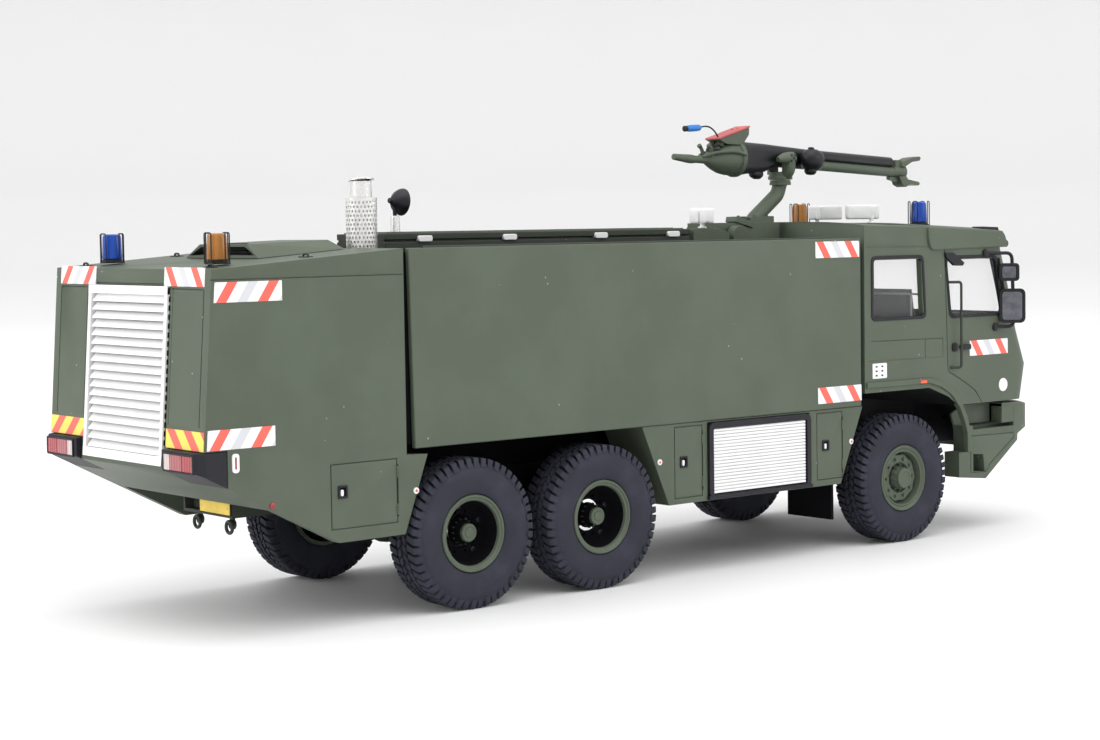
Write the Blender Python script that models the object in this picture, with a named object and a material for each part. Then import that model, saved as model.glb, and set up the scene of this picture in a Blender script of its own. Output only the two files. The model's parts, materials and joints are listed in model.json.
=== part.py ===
"""Scale model, 1:87, of a six-wheeled airport fire truck with a crew cab and a roof monitor.

The vehicle faces -Y, its right side is -X, and +Z is up.  Every size below is in millimetres of the
model.  Places along Y are counted from the rearmost axle, and one empty shifts the whole model so that
its box stands centred on the origin.
"""

import math

import bmesh
import bpy
from mathutils import Matrix, Vector

MM = 0.001

# --- clearances -----------------------------------------------------------------------------------
SEAT_GAP = 0.05          # between pieces that rest on each other
RUNNING_GAP = 0.2        # around what turns

# --- wheels and axles -----------------------------------------------------------------------------
TYRE_RADIUS = 7.24
TYRE_WIDTH = 4.3
WHEEL_TRACK = 25.42      # between the middle planes of a pair of tyres
RIM_RADIUS = 3.74
RIM_WIDTH = 3.8
TANDEM_SPACING = 16.22   # between the two rear axles
WHEEL_LEAD = 45.19       # from the middle axle to the front one
AXLE_ROD_RADIUS = 0.8
HOUSING_RADIUS = 1.5
AXLES = {"rear_2": 0.0, "rear_1": -TANDEM_SPACING, "front": -TANDEM_SPACING - WHEEL_LEAD}

# --- chassis --------------------------------------------------------------------------------------
RAIL_SPREAD = 9.8        # between the middle planes of the two frame rails
RAIL_THICKNESS = 1.0
RAIL_LOW, RAIL_TOP = 9.4, 12.2
FRAME_REAR = 14.4
FRAME_FRONT = -81.6

# --- bodywork -------------------------------------------------------------------------------------
BODY_WIDTH = 28.52       # over the sides of the rear body
PANEL_WIDTH = 28.74      # over the two big side panels
PANEL_THICKNESS = 0.6
PANEL_REAR, PANEL_FRONT = 6.9, -54.7
PANEL_LOW, PANEL_TOP = 15.85, 34.5
CORE_TOP = 34.15         # the roof deck between the panels
CORE_LOW = 16.2          # the roof of the wheel arches
ARCH_SLOPE = 3.6         # how far an arch widens from its top down to the skirt
SKIRT_LOW = 7.45
MID_LOCKER_REAR, MID_LOCKER_FRONT = -22.0, -55.0
LOCKER_DEPTH = 6.2
SHUTTER_REAR, SHUTTER_FRONT = -31.1, -46.5
SHUTTER_DEPTH = 0.5

FLAP_WIDTH, FLAP_THICKNESS, FLAP_LOW = 6.7, 0.35, 3.45

REAR_BODY_FRONT = 7.45
REAR_TOP_Y, REAR_TOP_Z = 27.8, 33.0
REAR_LOW_Y, REAR_LOW_Z = 29.05, 15.1
CHIN_FRONT_Y, CHIN_FRONT_Z = 15.1, 7.9
GRILLE_WIDTH = 14.6
GRILLE_THICKNESS = 0.7
GRILLE_PROUD = 0.2
GRILLE_LOW, GRILLE_TOP = 15.5, 31.5
LAMP_INNER = GRILLE_WIDTH / 2 + 0.7
LAMP_TOP, LAMP_DEPTH, LAMP_PROUD = 17.15, 2.4, 0.55
POCKET_REAR, POCKET_TOP, SKIRT_WALL = 21.9, 11.45, 1.2
CARRIER_WIDTH, CARRIER_REAR, CARRIER_LOW = 8.74, 20.35, 9.7

# --- cab ------------------------------------------------------------------------------------------
CAB_WIDTH = 28.7
CAB_WALL = 0.7
CAB_REAR = -55.3
CAB_NOSE_BULGE = 0.6     # how far the middle of the front stands before its corners
CAB_CORNER = 1.8
CAB_CROWN = 0.5
CAB_ARCH_TOP = 17.2
CAB_SILL = 14.9
CAB_ROOF_REAR, CAB_ROOF_MID, CAB_ROOF_FRONT = 35.9, 35.6, 34.9
FRONT_PROFILE = [(-83.7, CAB_SILL), (-84.6, 19.1), (-83.0, 23.2), (-81.65, 28.2), (-80.15, 32.9)]
CAB_ROOF_EDGE = -79.4
GLASS_LOW, GLASS_TOP = 24.3, 32.6
GLASS_THICKNESS = 0.35
CREW_WINDOW = (-56.9, -65.2, 25.3, 32.0)
DOOR_WINDOW_LOW, DOOR_WINDOW_TOP = 25.1, 31.8
BUMPER_REAR, BUMPER_FRONT, BUMPER_LOW, BUMPER_TOP = -71.4, -84.8, 5.9, 14.6
BUMPER_WALL = 2.2
STEP_LOW, STEP_TOP, STEP_DEPTH = 11.8, 14.2, 1.6

# --- roof -----------------------------------------------------------------------------------------
WALKWAY_WIDTH, WALKWAY_REAR, WALKWAY_FRONT, WALKWAY_TOP = 8.4, 2.3, -38.4, 35.8
LAMP_BOX_FRONT = -44.0
HATCH_WIDTH, HATCH_FLANK, HATCH_REAR, HATCH_FRONT, HATCH_TOP = 13.0, 2.3, 18.2, 8.6, 35.35
BEACON_RADIUS, BEACON_HEIGHT = 1.05, 2.8
EXHAUST_RADIUS, EXHAUST_TOP = 1.5, 39.3
EXHAUST_X, EXHAUST_Y = -5.2, REAR_BODY_FRONT - EXHAUST_RADIUS - 0.2
EXHAUST_WALL, EXHAUST_PIPE_RADIUS, EXHAUST_PIPE_TOP = 0.25, 1.05, 40.9

# --- roof monitor ---------------------------------------------------------------------------------
MONITOR_Y = -56.8
RISER_FOOT_Y = -51.6
RISER_RADIUS = 0.85
COLLAR_LOW, COLLAR_HEIGHT, COLLAR_RADIUS = 41.3, 0.9, 1.3
TRUNNION_Z = 43.75
BARREL_TILT = math.radians(3.1)
BARREL_FRONT, BARREL_REAR = 19.2, 6.3   # from the trunnion
BARREL_RADIUS = 0.52
BARREL_UPPER, BARREL_LOWER = 0.68, -0.43  # the two tubes' middles above the trunnion
CASTING_Y, CASTING_Z = 8.8, -0.75
LEVER_END, NOZZLE_END = 17.0, -23.8
SPOTLIGHT_Y = -2.9
CHEEK_GAP = 0.15

BODY_END_REAR, BODY_END_FRONT = REAR_LOW_Y + LAMP_PROUD, BUMPER_FRONT - CAB_NOSE_BULGE
MIDDLE_SHIFT = -(BODY_END_REAR + BODY_END_FRONT) / 2

PAINT = (0.085, 0.105, 0.072)
BLACK = (0.012, 0.012, 0.014)
RUBBER = (0.045, 0.047, 0.055)
SILVER = (0.62, 0.63, 0.64)
WHITE = (0.8, 0.8, 0.8)


# --- helpers --------------------------------------------------------------------------------------
def finish_material(name, color, roughness, metallic=0.0):
    material = bpy.data.materials.new(name)
    material.use_nodes = True
    shader = material.node_tree.nodes["Principled BSDF"]
    shader.inputs["Base Color"].default_value = (*color, 1)
    shader.inputs["Roughness"].default_value = roughness
    shader.inputs["Metallic"].default_value = metallic
    return material


def mesh_object(name, points, faces, look):
    """A mesh from points in millimetres, its faces turned outward."""
    mesh = bpy.data.meshes.new(name)
    mesh.from_pydata([Vector(p) * MM for p in points], [], faces)
    shape = bmesh.new()
    shape.from_mesh(mesh)
    bmesh.ops.recalc_face_normals(shape, faces=shape.faces)
    shape.to_mesh(mesh)
    shape.free()
    return adopt(name, mesh, look)


def adopt(name, mesh, look):
    obj = bpy.data.objects.new(name, mesh)
    bpy.context.scene.collection.objects.link(obj)
    obj.parent = ROOT
    mesh.materials.append(LOOKS[look])
    return obj


def box(name, x, y, z, look="paint"):
    """A box between two values along each axis."""
    (x0, x1), (y0, y1), (z0, z1) = sorted(x), sorted(y), sorted(z)
    points = [(a, b, c) for a in (x0, x1) for b in (y0, y1) for c in (z0, z1)]
    faces = [(0, 1, 3, 2), (4, 6, 7, 5), (0, 4, 5, 1), (2, 3, 7, 6), (0, 2, 6, 4), (1, 5, 7, 3)]
    return mesh_object(name, points, faces, look)


def loft(name, stations, outline_at, look="paint"):
    """Outlines of (y, z) points, one for each station along X, skinned and closed at both ends."""
    rows = [outline_at(x) for x in stations]
    count = len(rows[0])
    points = [(x, y, z) for x, row in zip(stations, rows) for y, z in row]
    faces = [tuple(range(count))[::-1]]
    for station in range(len(stations) - 1):
        first = station * count
        for i in range(count):
            j = (i + 1) % count
            faces.append((first + i, first + j, first + count + j, first + count + i))
    faces.append(tuple(range(len(points) - count, len(points))))
    return mesh_object(name, points, faces, look)


def prism(name, outline, x, look="paint"):
    """A (y, z) outline extruded between two values along X."""
    return loft(name, sorted(x), lambda _: list(outline), look)


def turned(name, profile, look, segments=32, at=(0, 0, 0), axis="X", side=1):
    """A closed outline of (along, radius) points turned about an axis; radius 0 closes it at the middle."""
    points, rings = [], []
    for along, radius in profile:
        if radius == 0:
            rings.append([len(points)])
            points.append((along, 0, 0))
            continue
        rings.append(list(range(len(points), len(points) + segments)))
        for k in range(segments):
            angle = 2 * math.pi * k / segments
            points.append((along, radius * math.cos(angle), radius * math.sin(angle)))
    faces = []
    for first, second in zip(rings, rings[1:] + rings[:1]):
        if len(first) == 1 and len(second) == 1:
            continue
        for k in range(segments):
            n = (k + 1) % segments
            if len(first) == 1:
                faces.append((first[0], second[k], second[n]))
            elif len(second) == 1:
                faces.append((first[k], second[0], first[n]))
            else:
                faces.append((first[k], second[k], second[n], first[n]))
    if side < 0:
        points = [(-x, y, z) for x, y, z in points]
    turn = {"X": Matrix(), "Y": Matrix.Rotation(math.pi / 2, 4, "Z"), "Z": Matrix.Rotation(-math.pi / 2, 4, "Y")}
    points = [turn[axis] @ Vector(p) + Vector(at) for p in points]
    obj = mesh_object(name, points, faces, look)
    obj.data.shade_smooth()
    obj.data.set_sharp_from_angle(angle=math.radians(40))
    return obj


def tube(name, points, radius, look="paint", sides=4):
    """A round bar along a list of points, with filled ends, as a mesh."""
    curve = bpy.data.curves.new(name, "CURVE")
    curve.dimensions = "3D"
    curve.bevel_depth = radius * MM
    curve.bevel_resolution = sides
    curve.use_fill_caps = True
    spline = curve.splines.new("POLY")
    spline.points.add(len(points) - 1)
    for point, place in zip(spline.points, points):
        point.co = (*(Vector(place) * MM), 1)
    guide = bpy.data.objects.new(f"{name}_guide", curve)
    mesh = bpy.data.meshes.new_from_object(guide)
    bpy.data.objects.remove(guide)
    return adopt(name, mesh, look)


def rounded_path(corners, radius, steps=4):
    """The points of a path whose inner corners are arcs."""
    corners = [Vector(c) for c in corners]
    path = [corners[0]]
    for before, corner, after in zip(corners, corners[1:], corners[2:]):
        start, end = (before - corner).normalized(), (after - corner).normalized()
        reach = radius / math.tan(start.angle(end) / 2)
        a, b = corner + start * reach, corner + end * reach
        for step in range(steps + 1):
            t = step / steps
            path.append(a * (1 - t) ** 2 + corner * 2 * t * (1 - t) + b * t ** 2)
    path.append(corners[-1])
    return path


def combine(base, tools, operation):
    for tool in tools:
        modifier = base.modifiers.new(f"{operation.lower()}_{tool.name}"[:60], "BOOLEAN")
        modifier.operation = operation
        modifier.solver = "EXACT"
        modifier.object = tool
        tool.hide_render = True
        tool.display_type = "WIRE"
    return base


def cut(base, *tools):
    return combine(base, tools, "DIFFERENCE")


def fuse(base, *tools):
    return combine(base, tools, "UNION")


def bevel(obj, width, segments=1, angle=40):
    modifier = obj.modifiers.new("edges", "BEVEL")
    modifier.width = width * MM
    modifier.segments = segments
    modifier.limit_method = "ANGLE"
    modifier.angle_limit = math.radians(angle)
    return obj


def mirrored(build):
    """Builds a piece for the right side (-1) and for the left side (+1)."""
    return {side: build(name, side) for name, side in (("right", -1), ("left", 1))}


# --- wheels, axles and frame ----------------------------------------------------------------------
def tyre(name, side, y):
    half, bead = TYRE_WIDTH / 2, RIM_RADIUS + SEAT_GAP
    shoulder = TYRE_RADIUS - 0.45
    middle = (bead + TYRE_RADIUS) / 2
    profile = [
        (-half * 0.72, bead), (-half, middle), (-half * 0.94, shoulder), (-half * 0.8, TYRE_RADIUS),
        (half * 0.8, TYRE_RADIUS), (half * 0.94, shoulder), (half, middle), (half * 0.72, bead),
    ]
    return turned(name, profile, "rubber", 40, (side * WHEEL_TRACK / 2, y, TYRE_RADIUS), side=side)


def rim(name, side, y, dish, cap):
    """A rim with its disc `dish` inside the outer edge and a hub cap that stands out to `cap`."""
    half, lip = RIM_WIDTH / 2, RIM_RADIUS - 0.4
    bore = AXLE_ROD_RADIUS + SEAT_GAP
    disc = half - dish
    profile = [
        (half, RIM_RADIUS), (half, lip), (disc, lip - 0.5), (disc, 1.5), (cap, 1.3), (cap, 0),
        (disc - 0.5, 0), (disc - 0.5, bore), (-half, bore), (-half, 1.4),
        (disc - 1.0, 1.6), (disc - 1.0, lip - 0.5), (-half, lip), (-half, RIM_RADIUS),
    ]
    return turned(name, profile, "paint", 32, (side * WHEEL_TRACK / 2, y, TYRE_RADIUS), side=side)


def axle_rod(name, y, reach):
    ends = (-reach, reach)
    profile = [(ends[0], 0), (ends[0], AXLE_ROD_RADIUS), (ends[1], AXLE_ROD_RADIUS), (ends[1], 0)]
    return turned(name, profile, "steel", 20, (0, y, TYRE_RADIUS))


def wheelset(label, y, dish, cap):
    """An axle rod with its two rims and tyres."""
    mirrored(lambda side_name, side: tyre(f"{label}_tyre_{side_name}", side, y))
    mirrored(lambda side_name, side: rim(f"{label}_rim_{side_name}", side, y, dish, cap))
    seat = WHEEL_TRACK / 2 + RIM_WIDTH / 2 - dish - 0.5 - SEAT_GAP
    axle_rod(f"{label}_axle_rod", y, seat)


def axle_housing(label, y):
    """A banjo housing with a spring pack and its hangers at each side."""
    reach = (WHEEL_TRACK - TYRE_WIDTH) / 2 - RUNNING_GAP
    bore = AXLE_ROD_RADIUS + RUNNING_GAP
    bulge = HOUSING_RADIUS + 0.8
    flat = math.sqrt(bulge ** 2 - HOUSING_RADIUS ** 2)
    dome = [(flat * k / 4, math.sqrt(bulge ** 2 - (flat * k / 4) ** 2)) for k in range(-4, 5)]
    profile = [(-reach, bore), (-reach, HOUSING_RADIUS), *dome, (reach, HOUSING_RADIUS), (reach, bore)]
    housing = turned(f"{label}_axle_housing", profile, "paint", 20, (0, y, TYRE_RADIUS))
    inner = RAIL_SPREAD / 2 + RAIL_THICKNESS / 2 + SEAT_GAP
    spring_half = min(6.6, TANDEM_SPACING / 2 - 0.6)
    eye, low = RAIL_LOW + 1.0, TYRE_RADIUS + HOUSING_RADIUS - 0.4
    for side in (-1, 1):
        pack = [
            (y - spring_half, eye), (y - 2, low + 0.7), (y + 2, low + 0.7), (y + spring_half, eye),
            (y + spring_half, eye - 0.6), (y + 2, low), (y - 2, low), (y - spring_half, eye - 0.6),
        ]
        span = (side * inner, side * (inner + 1.3))
        fuse(housing, prism(f"{label}_spring_{side}", pack, span))
    return housing


def chassis_frame():
    half = RAIL_SPREAD / 2
    outer = half + RAIL_THICKNESS / 2
    inner = half - RAIL_THICKNESS / 2
    frame = box("chassis_frame", (-outer, outer), (FRAME_REAR, FRAME_FRONT), (RAIL_LOW, RAIL_TOP), "black")
    bays = [AXLES["rear_2"], AXLES["rear_1"], -27, -38, -49, AXLES["front"], -71.0]
    for number, middle in enumerate(bays):
        reach = 4.2
        cut(frame, box(f"bay_{number}", (-inner, inner), (middle - reach, middle + reach), (RAIL_LOW - 1, RAIL_TOP + 1)))
    cab_rest = box("cab_rest", (-outer, outer), (-73.6, -79.0), (RAIL_TOP - 0.5, CAB_SILL - SEAT_GAP), "black")
    return fuse(frame, cab_rest)


# --- bodywork -------------------------------------------------------------------------------------
def body_core():
    """The tank body between the panels, with the keel that sits on the frame."""
    half = PANEL_WIDTH / 2 - PANEL_THICKNESS - SEAT_GAP
    rear, front = REAR_BODY_FRONT - SEAT_GAP, CAB_REAR + 0.4
    core = box("body_core", (-half, half), (rear, front), (CORE_LOW, CORE_TOP))
    keel_half = RAIL_SPREAD / 2 + RAIL_THICKNESS / 2
    keel = box("core_keel", (-keel_half, keel_half), (rear, front), (RAIL_TOP + SEAT_GAP, CORE_LOW + 0.5))
    return fuse(core, keel)


def side_panel(name, side):
    outer = PANEL_WIDTH / 2
    outline = [(PANEL_REAR, PANEL_TOP), (PANEL_FRONT, PANEL_TOP), (PANEL_FRONT, PANEL_LOW), (PANEL_REAR - 0.4, PANEL_LOW)]
    return prism(f"side_panel_{name}", outline, (side * outer, side * (outer - PANEL_THICKNESS)))


def mid_locker(name, side):
    """The skirt between the wheels, with a rebate that takes the roller shutter."""
    top = min(PANEL_LOW, CORE_LOW) - SEAT_GAP
    outer = BODY_WIDTH / 2 - 0.05
    outline = [
        (MID_LOCKER_REAR, top), (MID_LOCKER_FRONT, top),
        (MID_LOCKER_FRONT + ARCH_SLOPE, SKIRT_LOW), (MID_LOCKER_REAR - ARCH_SLOPE, SKIRT_LOW),
    ]
    locker = prism(f"mid_locker_{name}", outline, (side * outer, side * (outer - LOCKER_DEPTH)))
    rebate = box(
        f"shutter_rebate_{name}", (side * (outer + 1), side * (outer - SHUTTER_DEPTH)),
        (SHUTTER_REAR, SHUTTER_FRONT), (SKIRT_LOW + 0.1, top - 0.15),
    )
    keel_reach = RAIL_SPREAD / 2 + RAIL_THICKNESS / 2 + SEAT_GAP
    bracket = box(
        f"locker_bracket_{name}", (side * keel_reach, side * (outer - LOCKER_DEPTH + 0.5)),
        (-32, -45), (RAIL_TOP + SEAT_GAP, top),
    )
    return cut(fuse(locker, bracket), rebate)


def roller_shutter(name, side):
    top = min(PANEL_LOW, CORE_LOW) - SEAT_GAP
    outer = BODY_WIDTH / 2 - 0.05
    inset = SEAT_GAP
    x = (side * (outer + 0.12), side * (outer - SHUTTER_DEPTH + inset))
    y = (SHUTTER_REAR - inset, SHUTTER_FRONT + inset)
    z = (SKIRT_LOW + 0.1 + inset, top - 0.15 - inset)
    shutter = box(f"roller_shutter_{name}", x, y, z, "white")
    field = box(
        f"slat_field_{name}", (side * (outer + 1), side * (outer - 0.12)),
        (y[0] - 0.85, y[1] + 0.85), (z[0] + 0.4, z[1] - 0.7),
    )
    return cut(shutter, field)


def rear_face_y(z):
    """The rear face leans, so its place along Y follows the height."""
    share = (z - REAR_LOW_Z) / (REAR_TOP_Z - REAR_LOW_Z)
    return REAR_LOW_Y + (REAR_TOP_Y - REAR_LOW_Y) * share


def chin_z(y):
    """The height of the slanting chin below the tail lamps."""
    return REAR_LOW_Z + (y - REAR_LOW_Y) * (REAR_LOW_Z - CHIN_FRONT_Z) / (REAR_LOW_Y - CHIN_FRONT_Y)


def rear_body():
    half = BODY_WIDTH / 2
    arch_low = REAR_BODY_FRONT + 0.3
    outline = [
        (REAR_TOP_Y, REAR_TOP_Z), (REAR_BODY_FRONT, PANEL_TOP), (REAR_BODY_FRONT, PANEL_LOW - 0.5),
        (arch_low - 2.7, PANEL_LOW - 0.6), (arch_low, SKIRT_LOW + 0.5), (CHIN_FRONT_Y, CHIN_FRONT_Z),
        (REAR_LOW_Y, REAR_LOW_Z),
    ]
    body = prism("rear_body", outline, (-half, half))
    frame_half = RAIL_SPREAD / 2 + RAIL_THICKNESS / 2 + SEAT_GAP
    skirt = half - SKIRT_WALL
    tyre_front = max(TYRE_RADIUS + 0.9, REAR_BODY_FRONT + 2 * SEAT_GAP)
    tunnel = box("frame_tunnel", (-frame_half, frame_half), (0, FRAME_REAR + SEAT_GAP), (0, RAIL_TOP + SEAT_GAP))
    tyre_room = box("tyre_room", (-skirt, skirt), (0, tyre_front), (0, PANEL_LOW - 0.3))
    pocket = box("underside_pocket", (-skirt, skirt), (tyre_front - 0.5, POCKET_REAR), (0, POCKET_TOP))
    cut(body, tunnel, tyre_room, pocket)
    for side in (-1, 1):
        x = (side * (LAMP_INNER - SEAT_GAP), side * (half + 1))
        y = (REAR_LOW_Y - LAMP_DEPTH - SEAT_GAP, REAR_LOW_Y + 2)
        cut(body, box(f"lamp_seat_{side}", x, y, (REAR_LOW_Z - 5, LAMP_TOP + SEAT_GAP)))
    recess = grille_outline(GRILLE_LOW - SEAT_GAP, GRILLE_TOP + SEAT_GAP, GRILLE_PROUD - GRILLE_THICKNESS - SEAT_GAP, 2)
    reach = GRILLE_WIDTH / 2 + SEAT_GAP
    return cut(body, prism("grille_recess", recess, (-reach, reach)))


def grille_outline(low, top, inner, outer):
    """An outline between two distances from the leaning rear face."""
    return [
        (rear_face_y(low) + inner, low), (rear_face_y(low) + outer, low),
        (rear_face_y(top) + outer, top), (rear_face_y(top) + inner, top),
    ]


def rear_grille():
    """A louvred panel let into the leaning rear face."""
    half = GRILLE_WIDTH / 2
    outline = grille_outline(GRILLE_LOW, GRILLE_TOP, GRILLE_PROUD - GRILLE_THICKNESS, GRILLE_PROUD)
    grille = prism("rear_grille", outline, (-half, half), "white")
    field = grille_outline(GRILLE_LOW + 1.0, GRILLE_TOP - 1.3, GRILLE_PROUD - 0.4, GRILLE_PROUD + 2)
    return cut(grille, prism("grille_field", field, (-half + 0.6, half - 0.6)))


def tail_lamp(name, side):
    """A lamp whose housing stands proud and wraps around the corner of the body."""
    half = BODY_WIDTH / 2
    front = REAR_LOW_Y - LAMP_DEPTH
    outline = [
        (front, chin_z(front)), (REAR_LOW_Y, REAR_LOW_Z), (REAR_LOW_Y + LAMP_PROUD, REAR_LOW_Z + 0.25),
        (REAR_LOW_Y + LAMP_PROUD, LAMP_TOP), (front, LAMP_TOP),
    ]
    lamp = prism(f"tail_lamp_{name}", outline, (side * LAMP_INNER, side * half), "black")
    return bevel_corner(lamp, side * half, REAR_LOW_Y + LAMP_PROUD)


def bevel_corner(piece, x, y):
    """Chamfers the upright corner of a piece that stands at x, y."""
    knife = box(f"corner_of_{piece.name}", (-0.5, 0.5), (-0.5, 0.5), (REAR_LOW_Z - 5, LAMP_TOP + 2))
    knife.location = Vector((x, y, 0)) * MM
    knife.rotation_euler = (0, 0, math.radians(45))
    return cut(piece, knife)


def tow_bracket():
    """The plate carrier in the underside's pocket, with the two towing eyes that hang from it."""
    half = CARRIER_WIDTH / 2
    top = POCKET_TOP - SEAT_GAP
    bracket = box("tow_bracket", (-half, half), (FRAME_REAR + SEAT_GAP, CARRIER_REAR), (CARRIER_LOW, top), "black")
    wall = 0.3
    hollow = box(
        "carrier_hollow", (wall - half, half - wall), (CARRIER_REAR - 0.9, CARRIER_REAR + 1), (CARRIER_LOW + wall, top + 1),
    )
    cut(bracket, hollow)
    for side in (-1, 1):
        ring = [(-0.18, 0.2), (-0.18, 0.48), (0.18, 0.48), (0.18, 0.2)]
        eye = turned(f"tow_eye_{side}", ring, "black", 14, (side * 2.9, CARRIER_REAR - 0.95, CARRIER_LOW - 0.75), "Y")
        shank = box(
            f"tow_shank_{side}", (side * 2.9 - 0.22, side * 2.9 + 0.22), (CARRIER_REAR - 1.13, CARRIER_REAR - 0.77),
            (CARRIER_LOW - 0.45, CARRIER_LOW + 0.2),
        )
        fuse(bracket, fuse(eye, shank))
    return bracket


def front_mudflap(name, side):
    """A flat flap that hangs from the locker's front end, behind the front wheel."""
    y = MID_LOCKER_FRONT + ARCH_SLOPE + 0.8
    x = (side * (BODY_WIDTH / 2 - 0.75), side * (BODY_WIDTH / 2 - 0.75 - FLAP_WIDTH))
    return box(f"front_mudflap_{name}", x, (y, y - FLAP_THICKNESS), (FLAP_LOW, SKIRT_LOW - SEAT_GAP), "rubber")


# --- cab ------------------------------------------------------------------------------------------
def front_y(z):
    """Where the front of the cab's corner stands at a height."""
    for (y0, z0), (y1, z1) in zip(FRONT_PROFILE, FRONT_PROFILE[1:]):
        if z <= z1:
            return y0 + (y1 - y0) * (z - z0) / (z1 - z0)
    return FRONT_PROFILE[-1][0]


def nose(x, inset=0.0):
    """How far the front stands out at x, less than nothing where the corner rounds away."""
    half = CAB_WIDTH / 2 - inset
    bulge = CAB_NOSE_BULGE * (1 - (x / half) ** 2)
    past = abs(x) - (half - CAB_CORNER)
    if past <= 0:
        return bulge
    return bulge - (CAB_CORNER - math.sqrt(max(CAB_CORNER ** 2 - past ** 2, 0)))


def cab_stations(inset=0.0):
    half = CAB_WIDTH / 2 - inset
    side = [half - CAB_CORNER * (1 - math.sin(math.radians(a))) for a in (0, 30, 60, 90)]
    middle = [half * share for share in (0.0, 0.3, 0.6)]
    right = middle + side
    return [-x for x in right[:0:-1]] + right


def crown(x, inset=0.0):
    half = CAB_WIDTH / 2 - inset
    return CAB_CROWN * (1 - (x / half) ** 4)


def cab_outline(x, inset=0.0):
    forward = nose(x, inset)
    up = crown(x, inset)
    front = [(y + inset - forward, z) for y, z in FRONT_PROFILE]
    front[0] = (front[0][0], CAB_SILL + inset)
    return [
        (CAB_REAR - inset, CAB_ARCH_TOP + inset), (-66.2, CAB_ARCH_TOP + inset),
        (-69.5 - inset * 0.4, CAB_SILL + 1.1 + inset), (-71.2 - inset * 0.4, CAB_SILL + inset), *front,
        (CAB_ROOF_EDGE + inset - forward, CAB_ROOF_FRONT - inset + up), (-64.8, CAB_ROOF_MID - inset + up),
        (CAB_REAR - inset, CAB_ROOF_REAR - inset + up),
    ]


def glass_outline(x, inset):
    forward = nose(x, inset)
    front = [(front_y(z) + inset - forward, z) for z in (GLASS_LOW, 28.2, GLASS_TOP)]
    return [(CAB_REAR - CAB_WALL - SEAT_GAP, GLASS_LOW), *front, (CAB_REAR - CAB_WALL - SEAT_GAP, GLASS_TOP)]


def cab_shell():
    shell = loft("cab_shell", cab_stations(), lambda x: cab_outline(x))
    room = loft("cab_room", cab_stations(CAB_WALL), lambda x: cab_outline(x, CAB_WALL))
    rear, front, low, top = CREW_WINDOW
    beyond = CAB_WIDTH / 2 + 2
    crew = prism("crew_windows", [(rear, low), (rear, top), (front + 0.4, top), (front, low)], (-beyond, beyond))
    door = prism(
        "door_windows",
        [(-69.4, DOOR_WINDOW_TOP), (-70.2, DOOR_WINDOW_LOW), (front_y(DOOR_WINDOW_LOW) + 2.0, DOOR_WINDOW_LOW),
         (front_y(DOOR_WINDOW_TOP) + 1.5, DOOR_WINDOW_TOP)],
        (-beyond, beyond),
    )
    screen_half = CAB_WIDTH / 2 - 2.4
    screen = box("windscreen_cut", (-screen_half, screen_half), (-76, -90), (GLASS_LOW + 0.7, GLASS_TOP - 0.6))
    return cut(shell, room, crew, door, screen)


def cab_glazing():
    """One clear insert that lines the cab's sides and front behind the windows."""
    outer = CAB_WALL + SEAT_GAP
    inner = outer + GLASS_THICKNESS
    glass = loft("cab_glazing", cab_stations(outer), lambda x: glass_outline(x, outer), "glass")

    def hollow_outline(x):
        outline = glass_outline(x, inner)
        low, high = GLASS_LOW - 1, GLASS_TOP + 1
        front = [(y, z) for y, z in outline[1:-1]]
        front[0] = (front[0][0], low)
        front[-1] = (front[-1][0], high)
        return [(CAB_REAR + 1, low), *front, (CAB_REAR + 1, high)]

    hollow = loft("glazing_hollow", cab_stations(inner), hollow_outline)
    return cut(glass, hollow)


def cab_interior():
    """Floor, seats and dashboard, moulded as one insert."""
    floor = CAB_WALL + SEAT_GAP
    half = CAB_WIDTH / 2 - floor
    arch, sill = CAB_ARCH_TOP + floor, CAB_SILL + floor
    outline = [
        (CAB_REAR - floor, arch), (-66.2, arch), (-69.5 - floor * 0.4, sill + 1.1), (-71.2 - floor * 0.4, sill), (-79.5, sill),
        (-79.5, 21.8), (-78.0, 23.2), (-76.6, 22.6), (-76.8, sill + 0.7), (-71.4, sill + 0.7), (-66.4, arch + 0.8),
        (CAB_REAR - floor, arch + 0.8),
    ]
    base = prism("cab_interior", outline, (-half, half), "seat")
    for side in (-1, 1):
        x = (side * 3.4, side * 10.2)
        front_seat = [(-66.8, 18.5), (-67.0, 28.4), (-68.0, 28.4), (-69.0, 22.0), (-73.2, 21.4), (-73.2, 20.0), (-70.6, 16.5), (-66.8, 18.3)]
        fuse(base, prism(f"front_seat_{side}", front_seat, x, "seat"))
    bench = [(-56.6, 17.9), (-56.6, 27.0), (-57.6, 27.0), (-58.4, 22.2), (-62.6, 21.8), (-62.6, 20.4), (-61.6, 17.9)]
    return fuse(base, prism("crew_bench", bench, (-11.4, 11.4), "seat"))


def steering_wheel():
    """A wheel on its column, which stands on the dashboard at the left."""
    x, y, z = 6.8, -75.2, 24.4
    ring = [(-0.2, 1.55), (-0.2, 2.0), (0.2, 2.0), (0.2, 1.55)]
    wheel = turned("steering_wheel", ring, "black", 24)
    hub = turned("steering_hub", [(-0.25, 0), (-0.25, 0.45), (0.25, 0.45), (0.25, 0)], "black", 12)
    bars = [box(f"steering_bar_{k}", (-0.15, 0.15), (-1.7, 1.7), (-0.15, 0.15), "black") for k in range(2)]
    bars[1].rotation_euler = (math.pi / 2, 0, 0)
    column = tube("steering_column", [(0, 0, 0), (-1.15, 0, 0)], 0.25, "black", 2)
    for piece in (hub, *bars, column):
        piece.parent = wheel
    fuse(wheel, hub, *bars, column)
    wheel.location = Vector((x, y, z)) * MM
    wheel.rotation_euler = (0, math.radians(-62), math.radians(-90))
    return wheel


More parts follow.
